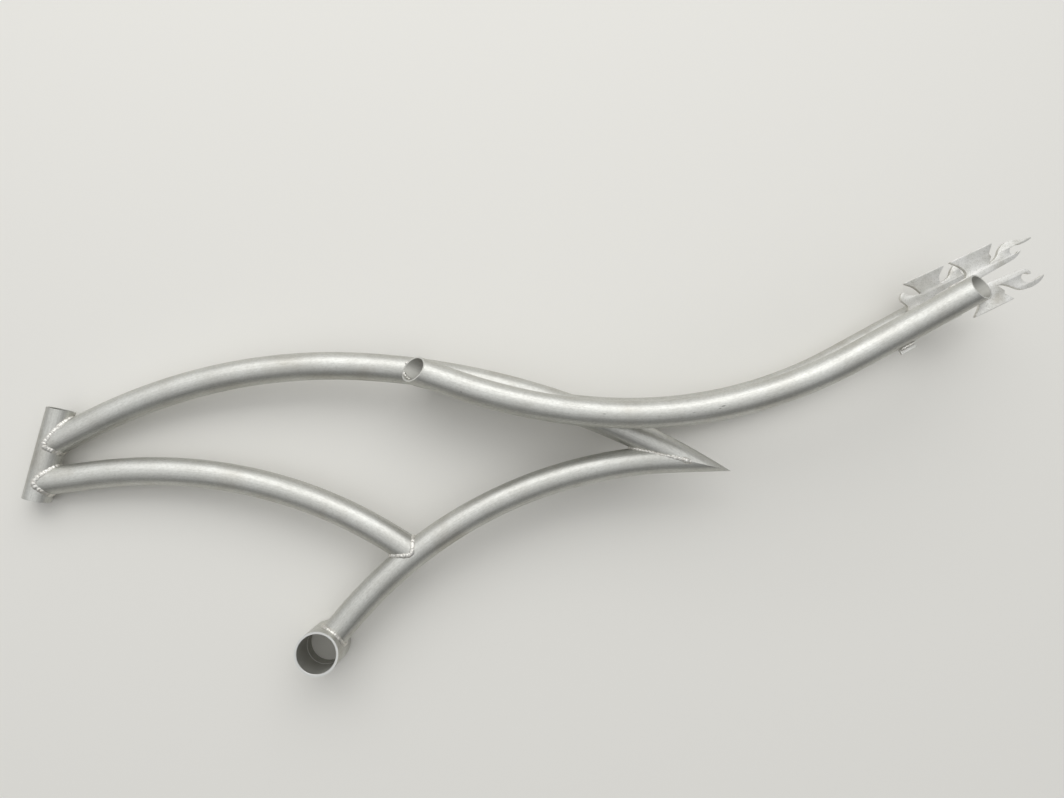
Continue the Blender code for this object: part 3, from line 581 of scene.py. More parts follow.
def slab_mesh(name, point, facing, reach):
    """Block with one face through a point, which takes away what that face looks at."""
    place = Matrix.Translation(point + facing.normalized() * reach / 2)
    place = place @ facing.to_track_quat("Z", "Y").to_matrix().to_4x4()
    mesh = bpy.data.meshes.new(name)
    with reworked(mesh) as body:
        bmesh.ops.create_cube(body, size=1)
        bmesh.ops.transform(body, matrix=place @ Matrix.Diagonal((2 * reach, 2 * reach, reach, 1)), verts=body.verts)
    return mesh


def cut(mesh, *tools, solver="EXACT"):
    """Mesh less some others, which go. A sweep that crosses itself in a tight bend needs the manifold solver."""
    thing = loose(mesh.name, mesh)
    cutters = [loose(tool.name, tool) for tool in tools]
    for cutter in cutters:
        modifier = thing.modifiers.new(cutter.name, "BOOLEAN")
        modifier.operation = "DIFFERENCE"
        modifier.solver = solver
        modifier.object = cutter
    result = finished(thing)
    for cutter, tool in zip(cutters, tools):
        bpy.data.objects.remove(cutter)
        bpy.data.meshes.remove(tool)
    return result


def joined(mesh, other):
    """One mesh of two. The second goes."""
    with reworked(mesh) as body:
        body.from_mesh(other)
    bpy.data.meshes.remove(other)
    return mesh


def sleeve_mesh(name, radius, end, bore):
    """Sleeve turned about z, from its outer radius and the half of its bore's outline that starts at a rim."""
    outline = [(radius, end), (radius, -end), *((at, -height) for at, height in bore), *bore[::-1]]
    mesh = polyline(name, [(at, 0, height) for at, height in outline], cyclic=True)
    thing = loose(name, mesh)
    screw = thing.modifiers.new("turn", "SCREW")
    screw.steps = screw.render_steps = bpy.context.scene.bicycle_sizes.tube_sides
    screw.use_merge_vertices = True
    screw.merge_threshold = TURNED_MERGE
    mesh = finished(thing)
    with reworked(mesh) as body:
        bmesh.ops.recalc_face_normals(body, faces=body.faces)
    return mesh


def vectors(items, word):
    """Array of one vector for each point or face of a mesh."""
    values = numpy.empty(len(items) * 3, numpy.float32)
    items.foreach_get(word, values)
    return values.reshape(-1, 3).astype(float)


def describe(mesh, route):
    """Store how far along and which way round a tube each point lies, its layer, and how near a weld it is."""
    rail = numpy.array([tuple(point) for point in route])
    steps = numpy.gradient(rail, axis=0)
    steps /= numpy.linalg.norm(steps, axis=1)[:, None]
    spans = numpy.linalg.norm(numpy.diff(rail, axis=0), axis=1)
    lengths = numpy.concatenate(([0], numpy.cumsum(spans)))

    def place_on_tube(points):
        """Distance along the route, offset from it and its heading, for each point."""
        blocks = numpy.array_split(points, math.ceil(len(points) / 1000))
        nearest = numpy.concatenate([((part[:, None, :] - rail[None]) ** 2).sum(2).argmin(1) for part in blocks])
        delta = points - rail[nearest]
        ahead = (delta * steps[nearest]).sum(1)
        return lengths[nearest] + ahead, delta - ahead[:, None] * steps[nearest], steps[nearest]

    run, side, step = place_on_tube(vectors(mesh.vertices, "co"))
    up = numpy.cross(numpy.array([0, 0, 1.0]), step)
    store(mesh, numpy.stack((run, (side * up).sum(1), side[:, 2]), axis=1),
          place_on_tube(vectors(mesh.polygons, "center"))[1])


def describe_shell(mesh):
    """The same for the shell, whose axis is z."""
    store(mesh, vectors(mesh.vertices, "co")[:, [2, 0, 1]], vectors(mesh.polygons, "center") * (1, 1, 0))


def store(mesh, skin_values, sides):
    """Store the straightened tube's own coordinates, the layer that each face is of, and the heat.

    The sides are the offsets of the faces from the axis.
    """
    mesh.attributes.new("skin", "FLOAT_VECTOR", "POINT").data.foreach_set("vector", skin_values.ravel())
    facing = (sides * vectors(mesh.polygons, "normal")).sum(1) / numpy.linalg.norm(sides, axis=1)
    layer = numpy.where(facing > FACING, OUTSIDE, numpy.where(facing < -FACING, IN_BORE, ON_END))
    mesh.attributes.new("layer", "FLOAT", "FACE").data.foreach_set("value", layer)
    reach = bpy.context.scene.bicycle_sizes.heat_reach
    away = [weld_places.find(point)[2] for point in vectors(mesh.vertices, "co")]
    heat = [max(1 - distance / reach, 0) for distance in away]
    mesh.attributes.new("heat", "FLOAT", "POINT").data.foreach_set("value", heat)


def settle(name, mesh, material, slot, *nodes):
    """Lay a finished mesh where the solids lie, and tie it to the frame in place of them."""
    mesh.transform(lying)
    mesh.shade_smooth()
    mesh.set_sharp_from_angle(angle=math.radians(SHARP_ANGLE))
    mesh.materials.clear()
    mesh.materials.append(material)
    mesh.name = name
    piece = loose(name, mesh)
    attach(piece, "root")
    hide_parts(*nodes)
    return piece


# Weld lines
def meeting_ring(axis, inner, outer, gap, angles):
    """Points where lines along a main tube reach a neighbour, with the way out of the tube at each."""
    ring = []
    for angle in angles:
        station = crossing(lambda at: gap(skin(axis, TUBE_OD / 2, at, angle)[0]), inner, outer)
        ring.append(skin(axis, TUBE_OD / 2, station, angle))
    return ring


def mitre_ring(angles):
    """Points where lines along the top tube reach the tail's mitre."""
    return meeting_ring(top_axis, top_station + tail_run_on, top_station - 2 * tail_run_on,
                        lambda point: (point - mitre_point).dot(mitre_up), angles)


def bead_line(ring, neighbour_out):
    """Middle line of a bead and the way out of its crease, sunk where the two surfaces lie flush."""
    line = []
    for point, out in ring:
        both = (out + neighbour_out(point)) / 2
        lift = BEAD_RADIUS * (1 - BEAD_SINK * both.length)
        line.append((point + both.normalized() * lift, both.normalized()))
    return line


def gap_to_head(point):
    """Distance behind the head tube's surface, or behind its axis beside it."""
    behind = (head_middle - point.to_2d()).dot(across(head_heading))
    return behind - math.sqrt(max((HEAD_OD / 2) ** 2 - point.z ** 2, 0))


def out_of_head(point):
    """Way out of the head tube's surface."""
    ahead = across(head_heading)
    behind = (head_middle - point.to_2d()).dot(ahead)
    return Vector((-ahead.x * behind, -ahead.y * behind, point.z)).normalized()


def gap_to_seat_tube(point):
    """Distance in front of the seat tube's surface, or of its axis beside it."""
    return seat_axis.beside(point.to_2d()) - math.sqrt(max((TUBE_OD / 2) ** 2 - point.z ** 2, 0))


def out_of_seat_tube(point):
    """Way out of the seat tube's surface."""
    return (point - seat_axis.at(seat_axis.nearest(point.to_2d()))[0].to_3d()).normalized()


def gap_to_shell(point):
    """Distance outside the bottom bracket shell's surface."""
    return point.to_2d().length - shell_radius


def out_of_shell(point):
    """Way out of the bottom bracket shell's surface."""
    return point.to_2d().normalized().to_3d()


def crease_line(axis, side, upper):
    """Line above or below where a stay lies on the top tube, with the way out of the crease."""
    reach = TUBE_OD / 2 + CREASE_LIFT
    stay_reach = STAY_OD / 2 + CREASE_LIFT
    line = []
    for station in stations(*STAY_WELD, WELD_STEP):
        centre = stay_point(axis, side, station)
        place, heading = top_axis.at(top_axis.nearest(centre.to_2d()))
        toward = centre - place.to_3d()
        inward = (toward.length ** 2 + reach ** 2 - stay_reach ** 2) / 2 / toward.length
        toward.normalize()
        up = across(heading).to_3d()
        up = (up - toward * up.dot(toward)).normalized() * upper
        line.append((place.to_3d() + toward * inward + up * math.sqrt(reach ** 2 - inward ** 2), up))
    return line


def dropout_line(axis, side, upper, end):
    """Line above or below where a stay lies on a plate, with the way out of the crease."""
    depth = STAY_OD / 2 + WELD_GAP - CREASE_LIFT
    height = math.sqrt((STAY_OD / 2 + CREASE_LIFT) ** 2 - depth ** 2)
    line = []
    for station in stations(axis.length + DROPOUT_WELD_START, axis.length + end, WELD_STEP):
        up = across(axis.at(station)[1]).to_3d() * upper
        place = stay_point(axis, side, station) + up * height - Vector((0, 0, side * depth))
        line.append((place, (up + Vector((0, 0, side))).normalized()))
    return line


def tab_line():
    """Line between the tab's outer side and the left stay."""
    out = TAB_THICKNESS / 2 + CREASE_LIFT
    down = math.sqrt((STAY_OD / 2 + CREASE_LIFT) ** 2 - out ** 2)
    axis = stay_axes[1]
    middle = axis.length - TAB_FROM_STAY_END
    line = []
    for station in stations(middle - TAB_LENGTH / 2, middle + TAB_LENGTH / 2, WELD_STEP):
        under = -across(axis.at(station)[1]).to_3d()
        place = stay_point(axis, 1, station) + under * down + Vector((0, 0, out))
        line.append((place, (under + Vector((0, 0, 1))).normalized()))
    return line


def weld_lines():
    """Every weld's middle line with the way out of its crease, whether it is closed, and what it lies between."""
    ring = [2 * math.pi * (i + 0.5) / RING_STEPS for i in range(RING_STEPS)]
    crotch = [math.pi / 2 + math.pi * i / RING_STEPS for i in range(RING_STEPS + 1)]
    down_end = down_axis.length
    lines = {}
    for name, axis, inner, outer, gap, way_out, between in (
            ("top_tube_head", top_axis, -TUBE_OD, 2 * TUBE_OD, gap_to_head, out_of_head, ("head", "top")),
            ("down_tube_head", down_axis, -TUBE_OD, 2 * TUBE_OD, gap_to_head, out_of_head, ("head", "down")),
            ("down_tube_seat_tube", down_axis, down_end + TUBE_OD, down_end - 2 * TUBE_OD, gap_to_seat_tube,
             out_of_seat_tube, ("seat", "down")),
            ("seat_tube_bottom_bracket", seat_axis, 0, 2 * shell_radius, gap_to_shell, out_of_shell,
             ("shell", "seat"))):
        lines[f"weld_{name}"] = (bead_line(meeting_ring(axis, inner, outer, gap, ring), way_out), True, between)
    lines["weld_seat_tube_top_tube"] = (bead_line(mitre_ring(crotch), out_of_seat_tube), False, ("top", "seat"))
    for side, name in ((1, "left"), (-1, "right")):
        axis = stay_axes[side]
        for upper, word in ((1, "top"), (-1, "front")):
            lines[f"weld_{name}_stay_{word}"] = (crease_line(axis, side, upper), False, ("top", name))
        for upper, word in ((1, "upper"), (-1, "lower")):
            line = dropout_line(axis, side, upper, DROPOUT_WELD_ENDS[word])
            lines[f"weld_{name}_dropout_{word}"] = (line, False, (name, name + "_plate"))
    lines["weld_brake_arm_tab"] = (tab_line(), False, ("left", "tab"))
    return lines


welds = weld_lines()
weld_places = KDTree(sum(len(line) for line, closed, between in welds.values()))
for index, (point, out) in enumerate(pair for line, closed, between in welds.values() for pair in line):
    weld_places.insert(point, index)
weld_places.balance()


# Routes of the tubes, which run past their cuts
def flat_route(axis, first, last):
    """Points of a tube that lies in the plane of the bicycle."""
    step = bpy.context.scene.bicycle_sizes.route_step
    return [axis.at(station)[0].to_3d() for station in stations(first, last, step)]


def tube_route(name):
    """Points along a tube's axis."""
    if name == "top":
        return flat_route(top_axis, -TUBE_OD, top_station + tail_run_on)
    if name == "down":
        return flat_route(down_axis, -TUBE_OD, down_axis.length)
    if name == "seat":
        return flat_route(seat_axis, 0, seat_axis.length + tail_run_on)
    side = {"left": 1, "right": -1}[name]
    axis = stay_axes[side]
    rear = axis.length + REAR_SCOOP / 2 + MARGIN
    step = bpy.context.scene.bicycle_sizes.route_step
    return [stay_point(axis, side, station) for station in stations(-FRONT_SCOOP / 2 - MARGIN, rear, step)]


def core(name):
    """Solid that one of the frame's members fills, smaller all round by a bite, to cut with."""
    if name == "head":
        step = along(head_heading).to_3d() * (HEAD_LENGTH / 2 + MARGIN)
        middle = head_middle.to_3d()
        return rod_mesh("core", [middle - step, middle, middle + step], HEAD_OD / 2 - BITE)
    if name == "shell":
        step = Vector((0, 0, SHELL_WIDTH / 2 + MARGIN))
        return rod_mesh("core", [-step, Vector(), step], shell_radius - BITE)
    if name in ("left_plate", "right_plate"):
        side = 1 if name == "left_plate" else -1
        face = side * (DROPOUT_SPACING / 2 + PLATE_THICKNESS - BITE)
        return slab_mesh("core", Vector((*AXLE, face)), Vector((0, 0, -side)), DROPOUT_SPACING / 2)
    if name == "tab":
        axis = stay_axes[1]
        point = stay_point(axis, 1, axis.length - TAB_FROM_STAY_END) + Vector((0, 0, TAB_THICKNESS / 2 - BITE))
        return slab_mesh("core", point, Vector((0, 0, -1)), TAB_LENGTH)
    radius = STAY_OD / 2 if name in ("left", "right") else TUBE_OD / 2
    return rod_mesh("core", tube_route(name), radius - BITE)


def head_cutters():
    """The head tube, and all that lies ahead of its axis."""
    return core("head"), slab_mesh("ahead", head_middle.to_3d(), across(head_heading).to_3d(), HEAD_LENGTH)


def mitre_cutter(way):
    """All on one side of the tail's mitre, up or down."""
    return slab_mesh("mitre", mitre_point + mitre_up * MITRE_OVERLAP * way, mitre_up * way, 2 * tail_run_on)


def scoop(axis, side, station, length, facing):
    """Block that makes the slanted cut at an end of a stay, open to the outside."""
    heading = axis.at(station)[1] + math.radians(SCOOP_RISE) * facing
    normal = along(heading).to_3d() * facing * STAY_OD
    normal.z = side * length
    return slab_mesh("scoop", stay_point(axis, side, station), normal, 4 * STAY_OD)


# Materials
def linear(code):
    """Linear colour of an sRGB hex code."""
    values = [int(code[i:i + 2], 16) / 255 for i in (1, 3, 5)]
    return [value / 12.92 if value <= 0.04045 else ((value + 0.055) / 1.055) ** 2.4 for value in values]


def new_material(name):
    """Material with its tree, its shader and the object's own coordinates."""
    material = bpy.data.materials.new(name)
    material.use_nodes = True
    tree = material.node_tree
    shader = tree.nodes["Principled BSDF"]
    shader.inputs["Metallic"].default_value = 1
    return material, tree, shader, add(tree, "ShaderNodeTexCoord").outputs["Object"]


def pattern(tree, vector, scale, detail=2.0, roughness=0.5, stretch=(1, 1, 1)):
    """Noise whose features are about one over its scale long, in metres."""
    turned = add(tree, "ShaderNodeMapping", {"Vector": vector, "Scale": stretch})
    noise = add(tree, "ShaderNodeTexNoise", {"Vector": turned.outputs[0], "Scale": scale, "Detail": detail,
                                             "Roughness": roughness})
    return noise.outputs[0]


def band(tree, value, low, high, first=0.0, last=1.0):
    """Value carried from one range to another, and kept inside it."""
    return add(tree, "ShaderNodeMapRange", {"Value": value, "From Min": low, "From Max": high, "To Min": first,
                                            "To Max": last}).outputs[0]


def blend(tree, share, first, second):
    """Mix of two colours."""
    mix = add(tree, "ShaderNodeMix", data_type="RGBA")
    for socket, value in zip((mix.inputs[0], mix.inputs[6], mix.inputs[7]), (share, first, second)):
        if isinstance(value, bpy.types.NodeSocket):
            tree.links.new(value, socket)
        else:
            socket.default_value = (*value, 1) if hasattr(value, "__len__") else value
    return mix.outputs[2]


def total(tree, first, second, operation="ADD"):
    """Calculation on two numbers."""
    return add(tree, "ShaderNodeMath", {0: first, 1: second}, operation=operation).outputs[0]


def summed(tree, value, *others):
    """Sum of numbers."""
    for other in others:
        value = total(tree, value, other)
    return value


def coated(tree, colour, *coats):
    """Colour under coats. Each lies where its noise runs from one value to another, up to a share of it."""
    for noise, low, high, share, coat in coats:
        colour = blend(tree, band(tree, noise, low, high, 0.0, share), colour, coat)
    return colour


def link_finish(tree, shader, colour, gloss, relief, strength):
    """Link a shader's colour, its roughness and its relief, which is in metres."""
    bump = add(tree, "ShaderNodeBump", {"Height": relief, "Distance": 1.0, "Strength": strength})
    for socket, value in (("Base Color", colour), ("Roughness", gloss), ("Normal", bump.outputs[0])):
        tree.links.new(value, shader.inputs[socket])


def nicked(tree, place):
    """How dark each small nick's painted shade and oxide is at a place: 0 outside it."""
    share = 0.0
    for point, heading, length, width, darkness in NICKS:
        turn = (lying @ Matrix.Rotation(heading, 4, "Z")).to_euler()
        nearby = add(tree, "ShaderNodeMapping", {
            "Vector": place, "Location": lying @ Vector(point), "Rotation": turn,
            "Scale": (length / 2, width / 2, 2 * width)}, vector_type="TEXTURE")
        away = add(tree, "ShaderNodeVectorMath", {0: nearby.outputs[0]}, operation="LENGTH").outputs["Value"]
        share = total(tree, share, band(tree, away, 0.4, 1.0, darkness, 0.0), "MAXIMUM")
    return share


@cache
def drawn_steel():
    """Bare cold-drawn tube steel: a satin grey sheen with fine lines along the tube that the die left."""
    look = bpy.context.scene.bicycle_finish
    material, tree, shader, place = new_material("bare_drawn_steel")
    skin_place = add(tree, "ShaderNodeAttribute", attribute_name="skin").outputs["Vector"]
    layer = add(tree, "ShaderNodeAttribute", attribute_name="layer").outputs["Fac"]
    warmth = add(tree, "ShaderNodeAttribute", attribute_name="heat").outputs["Fac"]
    # Die lines, in truth finer than 0.1 mm, drawn about 1 mm wide and 80 mm long so that they show
    lines = pattern(tree, skin_place, 1.0, 3.0, 0.6, (12, 700, 700))
    # Broad draws of the die, about 6 mm wide, where the sheen differs
    broad = pattern(tree, skin_place, 1.0, 2.0, 0.5, (9, 160, 160))
    # Mottling of the pickled skin, about 2 mm wide and 4 mm long
    mottle = pattern(tree, skin_place, 1.0, 4.0, 0.7, (260, 520, 520))
    # Handling marks and thin oil, in patches about 40 mm wide, and smudges about 70 mm wide
    patches = pattern(tree, place, 26.0, 4.0, 0.6)
    smudges = pattern(tree, place, 14.0, 3.0, 0.55)
    # Grain about 1 mm across
    grain = pattern(tree, place, 1100.0, 2.0, 0.6)
    # Straw tint and spatter, which thin out from a weld
    tinted = total(tree, warmth, band(tree, patches, 0.3, 0.7, -0.12, 0.12))
    spattered = total(tree, warmth, band(tree, grain, 0.3, 0.7, -0.05, 0.05))
    inside, rim = (add(tree, "ShaderNodeMath", {0: layer, 1: value, 2: 0.1}, operation="COMPARE").outputs[0]
                   for value in (IN_BORE, ON_END))
    colour = blend(tree, band(tree, patches, 0.35, 0.7), look.steel, look.dull_steel)
    colour = coated(tree, colour, (mottle, 0.42, 0.70, 0.30, look.dark_line),
                    (lines, 0.45, 0.75, 0.22, look.dark_line), (smudges, 0.56, 0.72, 0.30, look.smudge),
                    (tinted, 0.35, 0.70, 0.28, look.heat_tint), (spattered, 0.80, 0.92, 0.45, look.weld))
    # The bore's darker colour is painted shade inside the tubes
    # The nicks' dark colour is painted shade of dents that the mesh lacks, with dark oxide
    for share, over in ((inside, look.bore), (rim, look.cut_rim), (nicked(tree, place), look.nick)):
        colour = blend(tree, share, colour, over)
    gloss = summed(tree, band(tree, broad, 0.3, 0.7, 0.45, 0.53), band(tree, grain, 0.3, 0.7, -0.03, 0.03),
                   band(tree, mottle, 0.35, 0.7, -0.02, 0.04), total(tree, inside, 0.2, "MULTIPLY"))
    relief = summed(tree, *(total(tree, value, depth, "MULTIPLY")
                            for value, depth in ((lines, 0.00003), (grain, 0.00001), (mottle, 0.00003))))
    link_finish(tree, shader, colour, gloss, relief, 0.6)
    return material


@cache
def plate_steel():
    """Bare flame-cut steel plate: a dull pickled face with a fine speckle, and drag lines down its cut edges."""
    look = bpy.context.scene.bicycle_finish
    material, tree, shader, place = new_material("bare_plate_steel")
    # Speckle of the pickled face, about 1 mm, and drag lines about 1 mm apart across the thickness
    speckle = pattern(tree, place, 1.0, 3.0, 0.65, (620, 620, 40))
    # Clouds about 20 mm wide and stains about 30 mm wide
    cloud = pattern(tree, place, 60.0, 3.0, 0.6)
    stains = pattern(tree, place, 38.0, 3.0, 0.6)
    colour = blend(tree, band(tree, cloud, 0.35, 0.65), look.plate, look.dull_plate)
    colour = coated(tree, colour, (speckle, 0.50, 0.68, 0.34, look.dark_line),
                    (stains, 0.50, 0.75, 0.35, look.smudge))
    gloss = summed(tree, band(tree, speckle, 0.3, 0.7, 0.46, 0.58), band(tree, cloud, 0.3, 0.7, -0.04, 0.04))
    link_finish(tree, shader, colour, gloss, total(tree, speckle, 0.00012, "MULTIPLY"), 0.8)
    return material


@cache
def weld_steel():
    """Weld metal as deposited: bright crowns, with grey oxide, painted shade and silicate specks in the valleys."""
    look = bpy.context.scene.bicycle_finish
    material, tree, shader, place = new_material("deposited_weld_steel")
    # Valleys, found from pointiness, get the dark colour: painted shade, with grey oxide
    hollow = band(tree, add(tree, "ShaderNodeNewGeometry").outputs["Pointiness"], 0.40, 0.52)
    # Tinted clouds about 4 mm wide, and specks under 1 mm
    cloud = pattern(tree, place, 240.0, 3.0, 0.6)
    specks = pattern(tree, place, 1400.0, 2.0, 0.6)
    colour = blend(tree, hollow, look.weld_oxide, look.weld)
    colour = coated(tree, colour, (cloud, 0.52, 0.72, 0.30, look.heat_tint),
                    (specks, 0.62, 0.72, 0.6, look.weld_oxide))
    gloss = summed(tree, band(tree, cloud, 0.3, 0.7, 0.38, 0.54), band(tree, specks, 0.4, 0.7, 0.0, 0.08))
    link_finish(tree, shader, colour, gloss, total(tree, specks, 0.00006, "MULTIPLY"), 0.6)
    return material


# Settings
def colour_setting(name, code, description):
    """Colour that a user may change."""
    return bpy.props.FloatVectorProperty(name=name, description=description, default=linear(code), size=3,
                                         min=0, max=1, subtype="COLOR")


def length_setting(name, default, least, description):
    """Length that a user may change."""
    return bpy.props.FloatProperty(name=name, description=description, default=default, min=least, unit="LENGTH")


def count_setting(name, default, least, description):
    """Whole number that a user may change."""
    return bpy.props.IntProperty(name=name, description=description, default=default, min=least)


def share_setting(name, default, least, description):
    """Share that a user may change."""
    return bpy.props.FloatProperty(name=name, description=description, default=default, min=least)


class BicycleSizes(bpy.types.PropertyGroup):
    """Sizes of the finer pieces."""

    tube_sides: count_setting("Tube Sides", 96, 24, "Sides of a tube's outer surface")
    bore_sides: count_setting("Bore Sides", 64, 16, "Sides of a tube's bore")
    route_step: length_setting("Route Step", 0.008, 0.002, "Distance between rings along a tube")
    bead_pitch: length_setting("Ripple Pitch", 0.0044, 0.001, "Distance from one ripple of a weld to the next")
    bead_depth: length_setting("Ripple Depth", 0.0005, 0, "Height of a weld's ripples")
    bead_width: share_setting("Bead Width", 1.05, 0.5, "Width of a weld, as a share of the solid one's")
    thin_bead_width: share_setting("Thin Bead Width", 0.75, 0.3, "The same for the tab and the tail")
    bead_unevenness: length_setting("Unevenness", 0.0016, 0, "Height of a weld's irregular lumps")
    bead_step: length_setting("Bead Step", 0.00045, 0.0002, "Distance between rings along a weld")
    heat_reach: length_setting("Heat Reach", 0.024, 0.001, "How far the tint beside a weld reaches")
    plate_rounding: length_setting("Plate Rounding", 0.0003, 0, "Radius of a plate's edges")


class BicycleFinish(bpy.types.PropertyGroup):
    """Colours of the finishes and of the stage."""

    steel: colour_setting("Steel", "#D5D5D0", "Bare drawn tube")
    dull_steel: colour_setting("Dull Steel", "#CAC9C3", "Patches of thin oil on the tubes")
    dark_line: colour_setting("Dark Line", "#94938B", "Die lines and speckle")
    smudge: colour_setting("Smudge", "#9C9484", "Brownish smudges of first rust and oil")
    # Painted shade of the nicks' dents, which the mesh lacks, with dark oxide
    nick: colour_setting("Nick", "#3A3834", "Dark bottoms of the small nicks")
    # Darker than the steel as painted shade inside the tubes
    bore: colour_setting("Bore", "#B7B6B0", "Inside of a tube")
    cut_rim: colour_setting("Cut Rim", "#DDDDD9", "Fresh cut ends")
    plate: colour_setting("Plate", "#E3E2DE", "Bare plate")
    dull_plate: colour_setting("Dull Plate", "#D2D1CB", "Clouds on the plate")
    weld: colour_setting("Weld", "#E4E2DC", "Crowns of a weld")
    # Grey oxide, and painted shade in the weld's valleys; also the colour of its specks
    weld_oxide: colour_setting("Weld Oxide", "#6A6761", "Valleys of a weld")
    heat_tint: colour_setting("Heat Tint", "#B5A590", "Straw tint beside a weld")
    floor: colour_setting("Floor", "#E4E2DC", "Studio floor")


# Operators
class BICYCLE_OT_turned(bpy.types.Operator):
    """Make the head tube and the bottom bracket shell"""

    bl_idname = "bicycle.turned"
    bl_label = "Head Tube and Shell"

    def execute(self, context):
        end = HEAD_LENGTH / 2
        inner = HEAD_OD / 2 - WALL
        mesh = sleeve_mesh("head", HEAD_OD / 2, end, [(inner + RIM_CHAMFER, end), (inner, end - RIM_CHAMFER)])
        turn = Matrix.Rotation(head_heading, 4, "Z") @ Matrix.Rotation(math.pi / 2, 4, "Y")
        mesh.transform(Matrix.Translation(head_middle.to_3d()) @ turn)
        step = along(head_heading).to_3d() * HEAD_LENGTH
        describe(mesh, [head_middle.to_3d() + step * (i / SLEEVE_STEPS - 0.5) for i in range(SLEEVE_STEPS + 1)])
        settle("drawn_head_tube", mesh, drawn_steel(), "tube_steel", "head_tube")
        end = SHELL_WIDTH / 2
        inner = SHELL_BORE / 2
        seat = end - SHELL_SEAT_DEPTH
        mesh = sleeve_mesh("shell", shell_radius, end, [
            (inner + RIM_CHAMFER, end), (inner, end - RIM_CHAMFER), (inner, seat),
            (inner + SHELL_RELIEF, seat - SHELL_RELIEF)])
        describe_shell(mesh)
        settle("turned_bottom_bracket_shell", mesh, drawn_steel(), "tube_steel", "bottom_bracket_shell")
        return {"FINISHED"}


class BICYCLE_OT_main_tubes(bpy.types.Operator):
    """Make the top tube, the down tube and the seat tube"""

    bl_idname = "bicycle.main_tubes"
    bl_label = "Main Tubes"

    def execute(self, context):
        cutters = {
            "top": lambda: [*head_cutters(), mitre_cutter(-1)],
            "down": lambda: [*head_cutters(), core("seat")],
            "seat": lambda: [core("shell"), mitre_cutter(1)],
        }
        for name, tools in cutters.items():
            route = tube_route(name)
            mesh = cut(tube_mesh(name, route, TUBE_OD / 2, WALL), *tools())
            describe(mesh, route)
            settle(f"drawn_{name}_tube", mesh, drawn_steel(), "tube_steel", f"{name}_tube")
        return {"FINISHED"}


class BICYCLE_OT_stays(bpy.types.Operator):
    """Make the two stays with their slanted open ends"""

    bl_idname = "bicycle.stays"
    bl_label = "Stays"

    def execute(self, context):
        for side, name in ((1, "left"), (-1, "right")):
            axis = stay_axes[side]
            route = tube_route(name)
            mesh = cut(tube_mesh(name, route, STAY_OD / 2, WALL),
                       scoop(axis, side, FRONT_SCOOP_SETBACK, FRONT_SCOOP, -1),
                       scoop(axis, side, axis.length, REAR_SCOOP, 1))
            describe(mesh, route)
            settle(f"drawn_{name}_stay", mesh, drawn_steel(), "tube_steel", f"{name}_stay")
        return {"FINISHED"}


def knots(outline):
    """An outline's knots in metres, each with its form."""
    return [(x / 1000, y / 1000, *(form or [ROUND])) for x, y, *form in outline]


def with_round_tips(outline):
    """The same outline with three round points in place of each tip."""
    result = []
    for i, (x, y, form) in enumerate(outline):
        if form != TIP:
            result.append((x, y, form))
            continue
        point = Vector((x, y))
        before = (Vector(outline[i - 1][:2]) - point).normalized()
        after = (Vector(outline[(i + 1) % len(outline)][:2]) - point).normalized()
        back = (before + after).normalized() * TIP_RADIUS
        beside = (before - after).normalized() * TIP_RADIUS
        result += [(*knot, ROUND) for knot in (point + back + beside, point, point + back - beside)]
    return result


def plate_mesh(name, outline, thickness, rounding):
    """Flat plate from an outline of Bezier knots, with its edges slightly rounded."""
    curve = bpy.data.curves.new(name, "CURVE")
    curve.dimensions = "2D"
    curve.fill_mode = "BOTH"
    curve.extrude = thickness / 2 - rounding
    curve.bevel_depth = rounding
    curve.bevel_resolution = 1
    curve.offset = -rounding
    curve.resolution_u = KNOT_STEPS
    spline = curve.splines.new("BEZIER")
    spline.bezier_points.add(len(outline) - 1)
    spline.use_cyclic_u = True
    for knot, (x, y, form) in zip(spline.bezier_points, outline):
        knot.co = (x, y, 0)
        knot.handle_left_type = form
        knot.handle_right_type = form
    mesh = finished(loose(name, curve))
    with reworked(mesh) as body:
        bmesh.ops.remove_doubles(body, verts=body.verts, dist=PLATE_MERGE)
        bmesh.ops.recalc_face_normals(body, faces=body.faces)
    return mesh


class BICYCLE_OT_plates(bpy.types.Operator):
    """Make the two dropouts and the brake arm's tab"""

    bl_idname = "bicycle.plates"
    bl_label = "Dropouts and Tab"

    def execute(self, context):
        rounding = context.scene.bicycle_sizes.plate_rounding
        slot = SLOT_WIDTH / 2
        turns = [math.pi * (1.5 - i / SLOT_STEPS) for i in range(SLOT_STEPS + 1)]
        root = [(slot * math.cos(turn), slot * math.sin(turn), CORNER) for turn in turns]
        for side, name, body in ((1, "left", LEFT_BODY), (-1, "right", RIGHT_BODY)):
            outline = with_round_tips(root + knots(UPPER_FLAME + body + LOWER_FLAME))
            mesh = plate_mesh(name, outline, PLATE_THICKNESS, rounding)
            place = Vector((*AXLE, side * (DROPOUT_SPACING + PLATE_THICKNESS) / 2))
            mesh.transform(Matrix.Translation(place) @ Matrix.Rotation(slot_heading, 4, "Z"))
            settle(f"cut_{name}_dropout", mesh, plate_steel(), "plate_steel", f"{name}_dropout")
        axis = stay_axes[1]
        station = axis.length - TAB_FROM_STAY_END
        height = STAY_OD / 2 + TAB_DROP
        half = TAB_LENGTH / 2
        outline = [(-half, 0, CORNER), (-half, -height, TIP), (half, -height, TIP), (half, 0, CORNER)]
        mesh = plate_mesh("tab", with_round_tips(outline), TAB_THICKNESS, rounding)
        turn = Matrix.Rotation(axis.at(station)[1], 4, "Z")
        mesh.transform(Matrix.Translation(stay_point(axis, 1, station)) @ turn)
        mesh = cut(mesh, core("left"))
        settle("cut_brake_arm_tab", mesh, plate_steel(), "plate_steel", "brake_arm_tab")
        return {"FINISHED"}


